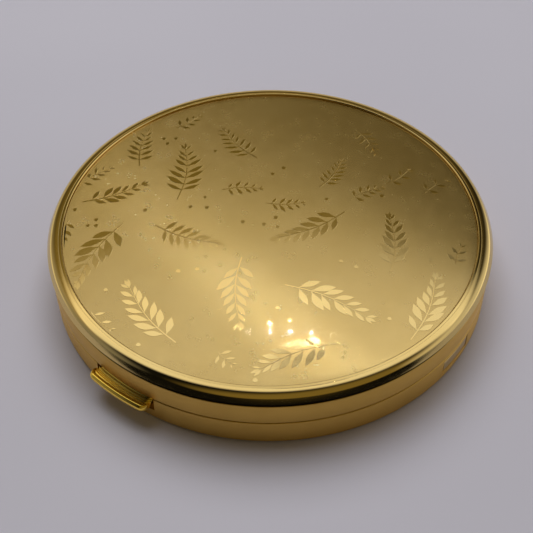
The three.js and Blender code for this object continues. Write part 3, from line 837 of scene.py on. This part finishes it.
# Kind, foot and tip of each sprig on the panel, and how many pairs of leaves it has.
SPRIGS = (
    (FERN, (-30.5, -3.5), (-37.3, 6.5), 7),
    (FERN, (-32.8, 10.4), (-31.4, 16.6), 4),
    (FERN, (-17.5, -6.8), (-26.7, 6.9), 8),
    (FERN, (-36.5, -15.0), (-35.0, -7.0), 5),
    (BROAD, (-32.5, -18.0), (-25.7, -7.0), 6),
    (FERN, (-31.0, -23.0), (-27.0, -30.0), 5),
    (BROAD, (-21.6, -17.9), (-18.1, -34.7), 7),
    (FERN, (-11.0, -37.5), (-5.3, -38.4), 3),
    (BROAD, (5.7, -33.9), (-10.3, -29.3), 7),
    (BROAD, (2.4, -11.6), (12.1, -24.9), 7),
    (FERN, (-16.2, -14.7), (-2.8, -11.6), 8),
    (FERN, (-12.2, 0.5), (-6.2, 5.6), 5),
    (FERN, (-12.7, 12.4), (-24.4, 15.5), 7),
    (FERN, (-2.9, 2.6), (3.0, 7.0), 5),
    (BROAD, (10.7, 9.8), (4.7, -4.4), 7),
    (BROAD, (26.1, 1.9), (18.3, 14.4), 7),
    (BROAD, (12.9, -12.3), (29.3, -9.3), 7),
    (FERN, (34.4, 11.2), (33.0, 16.0), 3),
    (BROAD, (37.3, -9.1), (33.5, 6.3), 7),
    (BROAD, (28.1, -17.1), (20.0, -30.3), 7),
    (FERN, (-1.8, 32.6), (6.1, 28.2), 5),
    (FERN, (2.7, 12.8), (1.6, 22.5), 7),
    (FERN, (9.6, 13.3), (12.5, 20.5), 5),
    (FERN, (12.5, 22.0), (13.9, 28.3), 3),
    (FERN, (19.9, 24.2), (21.3, 30.4), 3),
    (FERN, (12.7, -31.1), (16.2, -31.7), 3),
)
DOTS = (
    (-32.1, -20.4), (-26.8, -22.2), (-26.6, -20.1), (-25.5, -21.3), (-20.6, -12.7),
    (-13.5, -3.1), (-14.0, -6.9), (-11.3, -5.2), (-21.0, 9.1), (-32.4, 6.1), (-30.4, 7.6),
    (-30.7, 5.3), (-6.4, 13.1), (-7.1, 10.3), (-3.2, -4.2), (-4.8, -21.2), (-2.3, -18.8),
    (-12.5, -32.2), (5.8, 10.7), (1.1, 0.5), (0.4, -2.3), (2.9, -1.3), (17.5, -1.4),
    (20.5, -0.9), (30.3, 9.2), (13.8, 18.1), (31.9, -7.4), (15.0, -17.4), (18.4, -18.3),
    (16.1, -21.1), (21.3, -31.9), (0.7, -38.0),
)


def leftward(way):
    """A plane direction turned a quarter to the left."""
    return Vector((-way.y, way.x))


class Relief:
    """Collects low flat-topped shapes that lie on the dome, into one mesh."""

    def __init__(self):
        self.points = []
        self.faces = []

    def add(self, foot, top, height=RELIEF):
        start, count = len(self.points), len(foot)
        for outline, lift in ((foot, -RELIEF), (top, height)):
            for p in outline:
                if p.length > PATTERN_RADIUS:
                    p = p.normalized() * PATTERN_RADIUS
                self.points.append((p.x, p.y, dome(p.length) + lift))
        self.faces.append([start + i for i in reversed(range(count))])
        self.faces.append([start + count + i for i in range(count)])
        self.faces += strip(start, start + count, count)

    def blade(self, root, heading, length, width, curl, fullest, height=RELIEF):
        """A pointed leaf from root along heading, curling to one side."""
        ahead = Vector((math.cos(heading), math.sin(heading)))
        side = leftward(ahead)
        steps = 8

        def outline(inset):
            left, right = [], []
            for i in range(steps + 1):
                t = inset / length + (1 - 2 * inset / length) * i / steps
                half = max(width / 2 * math.sin(math.pi * t ** fullest) - inset, RELIEF_POINT)
                spine = root + ahead * length * t + side * curl * t * t
                left.append(spine + side * half)
                right.append(spine - side * half)
            return left[::-1] + right

        self.add(outline(0.0), outline(RELIEF_SLOPE), height)

    def stem(self, spine, width):
        """A thin stem along a list of points, tapering to its end."""
        def outline(inset):
            left, right = [], []
            for i, p in enumerate(spine):
                side = leftward((spine[min(i + 1, len(spine) - 1)] - spine[max(i - 1, 0)]).normalized())
                taper = 1 - 0.55 * i / (len(spine) - 1)
                half = max(width / 2 * taper - inset, RELIEF_POINT)
                left.append(p + side * half)
                right.append(p - side * half)
            return left[::-1] + right

        self.add(outline(0.0), outline(RELIEF_SLOPE * 0.7), RELIEF * 1.2)

    def dot(self, centre, radius):
        def outline(size):
            turns = [math.tau * i / 20 for i in range(20)]
            return [centre + size * Vector((math.cos(a), math.sin(a))) for a in turns]

        self.add(outline(radius), outline(radius - RELIEF_SLOPE))


SHORTEST_LEAF = 2.5
SMALL_SPRIG = 9                   # up to this length, a sprig has a finer stem and wider leaves

# Share of the stem left bare at its foot, leaf length as a share of the sprig's length and
# width as a share of the leaf's, angle between leaf and stem in degrees, and how far towards
# the tip the leaf is widest.
LEAVES = {
    FERN: {"bare": 0.17, "length": 0.28, "width": 0.27, "angle": 69, "fullest": 1.1},
    BROAD: {"bare": 0.15, "length": 0.29, "width": 0.335, "angle": 50, "fullest": 1.2},
}


def draw_sprig(relief, kind, foot, tip, pairs, chance):
    """A stem that sways a little, with leaves in pairs that grow, then shrink towards the tip."""
    foot, tip = Vector(foot), Vector(tip)
    ahead = tip - foot
    size = ahead.length
    side = leftward(ahead) / size
    look = LEAVES[kind]
    bend = chance.choice((-1, 1)) * 0.055 * size
    small = size <= SMALL_SPRIG

    def along(share):
        """A point of the stem."""
        return foot + ahead * share + side * bend * math.sin(math.pi * share * 1.15)

    relief.stem([along(i / 14) for i in range(15)], 0.24 if small else 0.36)
    for i in range(pairs):
        share = i / max(pairs - 1, 1)
        root = along(look["bare"] + (0.93 - look["bare"]) * share)
        grow = (1 - 0.55 * share ** 1.6) * (0.85 if i == 0 else 1.0)
        for turn in (-1, 1):
            length = max(size * look["length"], SHORTEST_LEAF) * grow * chance.uniform(0.92, 1.08)
            width = length * look["width"] * chance.uniform(0.92, 1.1) * (1.25 if small else 1.0)
            angle = look["angle"] * (1 - 0.35 * share) + chance.uniform(-4, 4)
            heading = math.atan2(ahead.y, ahead.x) + turn * math.radians(angle)
            shift = ahead.normalized() * chance.uniform(-0.2, 0.2) * size / 16
            way = Vector((math.cos(heading), math.sin(heading)))
            while length > 0.5 and (root + shift + way * length).length > PATTERN_RADIUS:
                length *= 0.9
            if length > 0.5:
                relief.blade(root + shift, heading, length, width, -turn * 0.1 * length, look["fullest"])
    heading = math.atan2(ahead.y, ahead.x) - math.copysign(0.1, bend)
    length = size * look["length"] * 0.5
    relief.blade(along(0.93), heading, length, length * look["width"], 0.0, look["fullest"], RELIEF * 1.1)


def lid_sprigs():
    relief, chance = Relief(), random.Random(11)
    for kind, foot, tip, pairs in SPRIGS:
        draw_sprig(relief, kind, foot, tip, pairs, chance)
    for centre in DOTS:
        relief.dot(Vector(centre), chance.uniform(0.42, 0.52))
    return make_object("lid_sprigs", relief.points, relief.faces)


# ---------- Materials ----------


class Nodes:
    """A node tree, with short ways to add nodes to it."""

    def __init__(self, tree):
        self.tree = tree

    def add(self, kind, **settings):
        node = self.tree.nodes.new(kind)
        for name, value in settings.items():
            setattr(node, name, value)
        return node

    def link(self, source, target):
        self.tree.links.new(source, target)

    def feed(self, socket, value):
        """Gives a socket a constant, or what another node puts out."""
        if isinstance(value, bpy.types.NodeSocket):
            self.link(value, socket)
        else:
            socket.default_value = value

    def node(self, kind, *values, **settings):
        """Adds a node, feeds its first sockets and gives its first output."""
        made = self.add(kind, **settings)
        for socket, value in zip(made.inputs, values):
            self.feed(socket, value)
        return made.outputs[0]

    def math(self, operation, *values):
        return self.node("ShaderNodeMath", *values, operation=operation)

    def times(self, value, *others):
        for other in others:
            value = self.math("MULTIPLY", value, other)
        return value

    def plus(self, value, *others):
        for other in others:
            value = self.math("ADD", value, other)
        return value

    def less(self, value):
        """1 minus a value."""
        return self.math("SUBTRACT", 1.0, value)


class Finish(Nodes):
    """A material, with short ways to add what most finishes share."""

    def __init__(self, name):
        self.material = bpy.data.materials.new(name)
        self.material.use_nodes = True
        super().__init__(self.material.node_tree)
        self.shader = self.tree.nodes["Principled BSDF"]
        self.place = self.add("ShaderNodeTexCoord").outputs["Object"]

    def give(self, **values):
        """Feeds the shader's own sockets, their names with _ for a space."""
        for name, value in values.items():
            self.feed(self.shader.inputs[name.replace("_", " ")], value)
        return self.material

    def stretched(self, along):
        """The place on the object, scaled differently along X, Y and Z."""
        node = self.add("ShaderNodeMapping")
        node.inputs["Scale"].default_value = along
        self.link(self.place, node.inputs["Vector"])
        return node.outputs["Vector"]

    def turned_place(self, scale):
        """A place that only changes with radius and height, for lines left by turning."""
        parts = self.add("ShaderNodeSeparateXYZ")
        self.link(self.place, parts.inputs[0])
        x, y, z = parts.outputs
        radius = self.math("SQRT", self.plus(self.times(x, x), self.times(y, y)))
        return self.node("ShaderNodeCombineXYZ", self.times(radius, scale), self.times(z, scale))

    def noise(self, scale, detail=3.0, vector=None, roughness=0.55):
        node = self.add("ShaderNodeTexNoise")
        node.inputs["Scale"].default_value = scale
        node.inputs["Detail"].default_value = detail
        node.inputs["Roughness"].default_value = roughness
        self.link(self.place if vector is None else vector, node.inputs["Vector"])
        return node.outputs["Fac"]

    def span(self, value, low, high, start=0.3, end=0.7):
        """Maps a value from start..end to low..high."""
        return self.node("ShaderNodeMapRange", value, start, end, low, high)

    def blend(self, factor, *colours):
        """Colour between two, by a factor."""
        node = self.add("ShaderNodeMix", data_type="RGBA")
        self.link(factor, node.inputs[0])
        for socket, colour in zip(node.inputs[6:8], colours):
            self.feed(socket, colour + (1.0,) if isinstance(colour, tuple) else colour)
        return node.outputs[2]

    def mottle(self, value, first, second):
        """A colour that wanders between two."""
        return self.blend(self.span(value, 0.0, 1.0), first, second)

    def bump(self, height, strength, distance, after=None):
        node = self.add("ShaderNodeBump")
        node.inputs["Strength"].default_value = strength
        node.inputs["Distance"].default_value = distance * MM
        self.link(height, node.inputs["Height"])
        if after is not None:
            self.link(after, node.inputs["Normal"])
        return node.outputs["Normal"]


def gold(name, colour, deep, roughness, spread, lines=None, brushed=None, coat=0.0, lines_strength=0.12):
    """Metal with handling marks, and with turned lines or straight brushing if it has them."""
    f = Finish(name)
    marks = f.noise(420, 6, roughness=0.65)
    normal = f.bump(f.noise(150, 2), 0.04, 0.05)
    if lines:
        normal = f.bump(f.noise(1.0, 4, f.turned_place(lines)), lines_strength, 0.02, normal)
    if brushed:
        normal = f.bump(f.noise(1.0, 3, f.stretched(brushed)), 0.1, 0.02, normal)
    f.give(
        Metallic=1.0,
        Coat_Weight=coat,
        Coat_Roughness=0.04,
        Coat_IOR=1.5,
        Base_Color=f.mottle(f.noise(90, 4), deep, colour),
        Roughness=f.span(marks, roughness - spread, roughness + spread),
        Normal=normal,
    )
    return f


def panel_satin():
    """Brushed along Y, so a light is drawn out along X."""
    f = gold("panel_satin", (0.76, 0.56, 0.22), (0.72, 0.52, 0.19), 0.26, 0.02,
             brushed=(9000, 160, 160), coat=0.24)
    tangent = f.node("ShaderNodeTangent", direction_type="UV_MAP", uv_map="brushing")
    return f.give(Anisotropic=0.94, Tangent=tangent)


def rim_polished():
    return gold("rim_polished", (0.80, 0.60, 0.24), (0.77, 0.56, 0.21), 0.08, 0.02).material


def shell_wall():
    """Turned, so a light is drawn out along the height."""
    f = gold("shell_wall", (0.72, 0.45, 0.11), (0.67, 0.42, 0.10), 0.4, 0.03,
             lines=3200, lines_strength=0.05)
    tangent = f.node("ShaderNodeTangent", direction_type="RADIAL", axis="Z")
    return f.give(Anisotropic=0.8, Anisotropic_Rotation=0.25, Tangent=tangent)


def groove_shade():
    """Painted shade: a near-black colour on the groove under the rim, standing for the shadow in it."""
    f = Finish("groove_shade")
    shade_noise = f.noise(700, 4)
    return f.give(
        Base_Color=f.mottle(shade_noise, (0.010, 0.006, 0.003), (0.026, 0.016, 0.006)),
        Roughness=f.span(shade_noise, 0.7, 0.9),
        Normal=f.bump(shade_noise, 0.4, 0.05),
    )


def catch_gold():
    return gold("catch_gold", (0.93, 0.64, 0.11), (0.88, 0.58, 0.08), 0.16, 0.03).material


def inner_gold():
    return gold("inner_gold", (0.80, 0.60, 0.27), (0.75, 0.55, 0.23), 0.2, 0.04, lines=9000).material


def sprig_gold():
    return gold("sprig_gold", (0.80, 0.61, 0.26), (0.78, 0.58, 0.23), 0.09, 0.02).material


def steel():
    grey, dark = (0.56, 0.55, 0.53), (0.48, 0.47, 0.45)
    return gold("steel", grey, dark, 0.28, 0.06, brushed=(200, 6000, 6000)).material


def pan_metal():
    return gold("pan_metal", (0.66, 0.66, 0.65), (0.58, 0.58, 0.57), 0.32, 0.06, lines=8000).material


def powder():
    f = Finish("powder")
    grain = f.noise(9000, 3)
    tone = f.mottle(f.noise(160, 3), (0.70, 0.43, 0.30), (0.76, 0.50, 0.36))
    return f.give(
        Base_Color=f.blend(f.span(grain, 0.0, 0.35), tone, (0.84, 0.62, 0.48)),
        Roughness=f.span(grain, 0.86, 0.98),
        Normal=f.bump(grain, 0.5, 0.03),
        Specular_IOR_Level=0.2,
        Sheen_Weight=0.15,
    )


def velour():
    f = Finish("velour")
    nap = f.noise(7000, 4)
    stroked = f.noise(220, 3)
    tone = f.mottle(stroked, (0.80, 0.58, 0.46), (0.88, 0.70, 0.58))
    return f.give(
        Base_Color=f.blend(f.span(nap, 0.0, 0.5), tone, (0.66, 0.44, 0.33)),
        Roughness=f.span(stroked, 0.82, 0.96),
        Normal=f.bump(nap, 0.7, 0.12, f.bump(stroked, 0.3, 0.3)),
        Sheen_Weight=0.5,
        Sheen_Roughness=0.4,
        Specular_IOR_Level=0.15,
    )


def ribbon():
    """Satin weave: fine floats along the ribbon, crossed by a finer weft."""
    f = Finish("ribbon")
    wave = f.add("ShaderNodeTexWave", wave_type="BANDS", bands_direction="Y")
    wave.inputs["Scale"].default_value = 1100
    wave.inputs["Distortion"].default_value = 0.6
    f.link(f.place, wave.inputs["Vector"])
    slubs = f.noise(1.0, 3, f.stretched((500, 5000, 500)))
    return f.give(
        Base_Color=f.mottle(slubs, (0.72, 0.45, 0.34), (0.82, 0.57, 0.45)),
        Roughness=f.span(slubs, 0.3, 0.46),
        Normal=f.bump(wave.outputs["Fac"], 0.35, 0.03, f.bump(slubs, 0.25, 0.03)),
        Sheen_Weight=0.25,
        Specular_IOR_Level=0.6,
    )


def mirror():
    f = Finish("mirror")
    smears = f.noise(60, 5, roughness=0.7)
    return f.give(
        Metallic=1.0,
        Base_Color=f.mottle(smears, (0.86, 0.88, 0.88), (0.90, 0.91, 0.91)),
        Roughness=f.span(smears, 0.012, 0.05, 0.45, 0.8),
    )


def card():
    f = Finish("card")
    fibres = f.noise(1.0, 4, f.stretched((900, 4200, 900)))
    return f.give(
        Base_Color=f.mottle(fibres, (0.16, 0.115, 0.075), (0.24, 0.18, 0.12)),
        Roughness=f.span(fibres, 0.8, 0.95),
        Normal=f.bump(fibres, 0.4, 0.05),
    )


def paper():
    f = Finish("paper")
    fibres = f.noise(1400, 4)
    return f.give(
        Base_Color=f.mottle(f.noise(9, 2), (0.74, 0.73, 0.83), (0.78, 0.77, 0.87)),
        Roughness=f.span(fibres, 0.85, 0.95),
        Normal=f.bump(fibres, 0.15, 0.05),
        Specular_IOR_Level=0.1,
    )


FINISHES = {
    make.__name__: make()
    for make in (
        shell_wall, rim_polished, panel_satin, sprig_gold, catch_gold, inner_gold, steel, pan_metal,
        powder, velour, ribbon, mirror, card, groove_shade,
    )
}

# ---------- Building the compact ----------


def dress(obj, body, slot, finish=None):
    """Gives a piece its body and finish, the slot's finish unless another is named. A name with _fine stands
    for the node without it.
    """
    smooth(obj)
    obj.data.materials.clear()
    obj.data.materials.append(FINISHES[finish or slot])
    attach(obj, body)
    node = obj.name.replace("_fine", "")
    if node != obj.name:
        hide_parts(node)
    return obj


def dress_rivet(node, place, body, *sizes):
    """A steel rivet that stands for a node, called left or right where there is one at each side."""
    name, _, word = node.partition("_rivet")
    dress(rivet(name + "_rivet_fine" + word, *place, *sizes), body, "steel")


dress(base_shell(), "base", "shell_wall")
dress(inner_frame(), "base", "inner_gold")
dress(powder_pan(), "base", "pan_metal")
dress(powder_cake(), "base", "powder")
dress(catch_bracket(), "base", "inner_gold")
dress(pin("catch_pin_fine", CATCH), "base", "steel")
dress(thumb_catch(), "catch", "catch_gold")
dress(catch_spring(), "catch", "steel")
dress(base_hinge_plate(), "base", "inner_gold")
dress(pin("lid_hinge_pin_fine", HINGE), "base", "steel")
dress(pin("inner_lid_pin_fine", DOOR_HINGE), "base", "steel")
dress(inner_lid_spring(), "base", "steel")

LID_RIVET = (0.45, LEDGE_BOTTOM - 0.57, LEDGE_TOP - 0.02, RIVET_HEAD, RIVET_DOME, 0)
for side, word in ((-1, "left"), (1, "right")):
    place = side * HINGE_RIVET[0], HINGE_RIVET[1]
    sizes = (0.5, 3.98, FLANGE_TOP + 0.57, RIVET_HEAD, RIVET_DOME, RIVET_DOME)
    dress_rivet("base_hinge_rivet_" + word, place, "base", *sizes)
    dress_rivet("lid_hinge_rivet_" + word, place, "lid", *LID_RIVET)
    place = side * CATCH_RIVET[0], CATCH_RIVET[1]
    dress_rivet("catch_rivet_" + word, place, "base", 0.45, FLOOR + 0.02, FLOOR + 0.57, RIVET_HEAD, 0, 0.4)

dress(inner_lid(), "inner_lid", "inner_gold")
puff = dress(puff_pad(), "inner_lid", "velour")
dress(puff_seam(), "inner_lid", "ribbon")
band = dress(puff_ribbon(), "inner_lid", "ribbon")

lid_ring = dress(lid_frame(), "lid", "rim_polished")
lid_ring.data.materials.append(FINISHES["shell_wall"])
# The wall finish, and a painted shade finish for the groove under the rim.
lid_ring.data.materials.append(FINISHES["groove_shade"])
for polygon in lid_ring.data.polygons:
    height, out = polygon.center.z / MM, polygon.center.to_2d().length / MM
    if out > WALL_RADIUS - 0.2 and height < GROOVE_BOTTOM - 0.001:
        polygon.material_index = 1
    # The groove's faces: painted shade, a near-black colour for the shadow under the rim.
    elif out > WALL_RADIUS - 0.6 and height < GROOVE_TOP + 0.001:
        polygon.material_index = 2
dress(lid_panel(), "lid", "panel_satin")
dress(lid_sprigs(), "lid", "rim_polished", "sprig_gold")
dress(lid_hinge_plate(), "lid", "inner_gold")
dress(lid_keeper(), "lid", "inner_gold")
dress_rivet("keeper_rivet", (0, KEEPER_RIVET_Y), "lid", *LID_RIVET)
dress(mirror_glass(), "lid", "mirror")
dress(mirror_backing(), "lid", "card")
dress(mirror_bezel(), "lid", "rim_polished")

# ---------- Stage, light and camera ----------

VIEW_AZIMUTH = 38                 # degrees, as the way from left to right in the view
VIEW_ELEVATION = 46.36
VIEW_DISTANCE = 4.7275 * RIM_RADIUS
VIEW_TARGET = Vector((-0.37, -0.7, 0))
VIEW_ROLL = -0.0131
VIEW_LENS = 67.54


def direction(azimuth, elevation):
    """Unit vector: azimuth in degrees from +X towards +Y, elevation above the horizon."""
    a, e = math.radians(azimuth), math.radians(elevation)
    return Vector((math.cos(a) * math.cos(e), math.sin(a) * math.cos(e), math.sin(e)))


LAMP_ANCHOR = Vector((20.0, -20.4, 13.0))      # where the row of lamps is mirrored in the panel
LAMP_ELEVATION = 54.4
LAMP_DISTANCE = 1.3
LAMPS = ((131.2, 0.006), (128.15, 0.04), (125.07, 0.04), (122.0, 0.04), (119.0, 0.006))


def paper_floor():
    half = 3.0
    mesh = bpy.data.meshes.new("floor")
    corners = [(-half, -half, 0), (half, -half, 0), (half, half, 0), (-half, half, 0)]
    mesh.from_pydata(corners, [], [(0, 1, 2, 3)])
    mesh.materials.append(paper())
    floor = bpy.data.objects.new("floor", mesh)
    bpy.context.scene.collection.objects.link(floor)


class Sky(Nodes):
    """The soft studio surround: brightness by direction."""

    def __init__(self):
        world = bpy.data.worlds.new("studio")
        world.use_nodes = True
        bpy.context.scene.world = world
        super().__init__(world.node_tree)
        self.tree.nodes.clear()
        self.way = self.add("ShaderNodeTexCoord").outputs["Generated"]

    def towards(self, azimuth, elevation):
        """Cosine between the way looked at and a direction."""
        found = self.add("ShaderNodeVectorMath", operation="DOT_PRODUCT")
        self.link(self.way, found.inputs[0])
        found.inputs[1].default_value = direction(azimuth, elevation)
        return found.outputs["Value"]

    def step(self, value, start, end):
        """0 before start and 1 after end, smoothly."""
        return self.node("ShaderNodeMapRange", value, start, end, interpolation_type="SMOOTHSTEP")

    def above(self, start, end):
        """0 below one elevation and 1 above another."""
        height = self.towards(0, 90)
        return self.step(height, math.sin(math.radians(start)), math.sin(math.radians(end)))

    def lobe(self, azimuth, elevation, start, end, strength):
        """A soft patch round a direction, from start to end as cosines."""
        return self.times(self.step(self.towards(azimuth, elevation), start, end), strength)

    def glow(self, colour, strength=1.0):
        return self.node("ShaderNodeBackground", colour + (1.0,), strength)


def studio_world():
    """Bright behind the object, dim on the camera's side, plain and pale where it is seen."""
    sky = Sky()
    behind = sky.towards(128, 0)
    # A bright ceiling behind the object, and a soft patch at each side.
    overhead = sky.times(sky.above(43.5, 50.5), sky.step(behind, 0.15, 0.38), 0.96)
    white = sky.plus(0.006, overhead, sky.lobe(50, 18, 0.72, 0.95, 0.62), sky.lobe(206, 18, 0.72, 0.95, 0.25))
    # A dark bar over the row of lamps.
    gap = sky.less(sky.lobe(122.5, 56, 0.9983, 0.9994, 0.75))
    over_lamps = sky.above(54.8, 55.6)
    white = sky.times(white, sky.plus(sky.times(gap, over_lamps), sky.less(over_lamps)))
    # The floor's far end, which the rim mirrors.
    paper_glow = sky.times(sky.less(sky.above(12, 24)), sky.step(behind, -0.1, 0.4), 0.42)
    white = sky.plus(white, paper_glow)
    # A dim warm wall below the ceiling, brighter on the left, and a dim room on the camera's side.
    warm = sky.times(
        sky.times(sky.step(behind, 0.0, 0.5), sky.less(sky.above(46, 58))),
        sky.plus(0.12, sky.times(sky.above(30, 48), 0.16)),
        sky.plus(0.13, sky.lobe(170, 0, 0.25, 0.56, 0.68)),
    )
    warm = sky.plus(warm, sky.times(sky.lobe(-28, 45, 0.55, 0.88, 0.2), sky.above(5, 26)))
    # Matt surfaces get less of the surround than gloss does, and the camera sees it plain.
    rays = sky.add("ShaderNodeLightPath").outputs
    on_matt = sky.less(sky.times(rays["Is Diffuse Ray"], 0.65))
    lit = sky.node(
        "ShaderNodeAddShader",
        sky.glow((1.0, 0.985, 0.97), sky.times(white, on_matt)),
        sky.glow((1.0, 0.77, 0.24), sky.times(warm, on_matt)),
    )
    mixed = sky.node("ShaderNodeMixShader", rays["Is Camera Ray"], lit, sky.glow((0.47, 0.455, 0.50)))
    sky.link(mixed, sky.add("ShaderNodeOutputWorld").inputs["Surface"])


def area_light(name, place, way, size, watts, colour=(1, 1, 1), round_shape=False, in_gloss=True):
    """A light at a place in metres, which shines back along the way it lies in."""
    data = bpy.data.lights.new(name, "AREA")
    data.shape = "DISK" if round_shape else "SQUARE"
    data.size = size
    data.energy = watts
    data.color = colour
    lamp = bpy.data.objects.new(name, data)
    bpy.context.scene.collection.objects.link(lamp)
    lamp.location = place
    lamp.rotation_mode = "QUATERNION"
    lamp.rotation_quaternion = way.to_track_quat("Z", "Y")
    lamp.visible_glossy = in_gloss
    return lamp


def studio_lights():
    key, fill = direction(132, 65), direction(-60, 38)
    area_light("soft_box", key * 0.95, key, 0.85, 4.9, (1.0, 0.985, 0.99), in_gloss=False)
    area_light("fill", fill * 1.3, fill, 0.9, 0.15, (1.0, 0.94, 0.88), in_gloss=False)
    for i, (azimuth, watts) in enumerate(LAMPS):
        way = direction(azimuth, LAMP_ELEVATION)
        area_light(f"lamp_{i}", LAMP_ANCHOR * MM + way * LAMP_DISTANCE, way, 0.005, watts, round_shape=True)


def camera():
    data = bpy.data.cameras.new("camera")
    data.lens = VIEW_LENS
    data.sensor_width = 36
    data.clip_start, data.clip_end = 0.01, 20
    eye = bpy.data.objects.new("camera", data)
    bpy.context.scene.collection.objects.link(eye)
    back = direction(VIEW_AZIMUTH - 90, VIEW_ELEVATION)
    right = direction(VIEW_AZIMUTH, 0)
    up = back.cross(right)
    right = math.cos(VIEW_ROLL) * right + math.sin(VIEW_ROLL) * up
    up = back.cross(right)
    turn = Matrix((right, up, back)).transposed().to_4x4()
    eye.matrix_world = Matrix.Translation((VIEW_TARGET + back * VIEW_DISTANCE) * MM) @ turn
    bpy.context.scene.camera = eye


paper_floor()
studio_world()
studio_lights()
camera()
bpy.context.scene.view_settings.view_transform = "Standard"
bpy.context.scene.view_settings.look = "None"
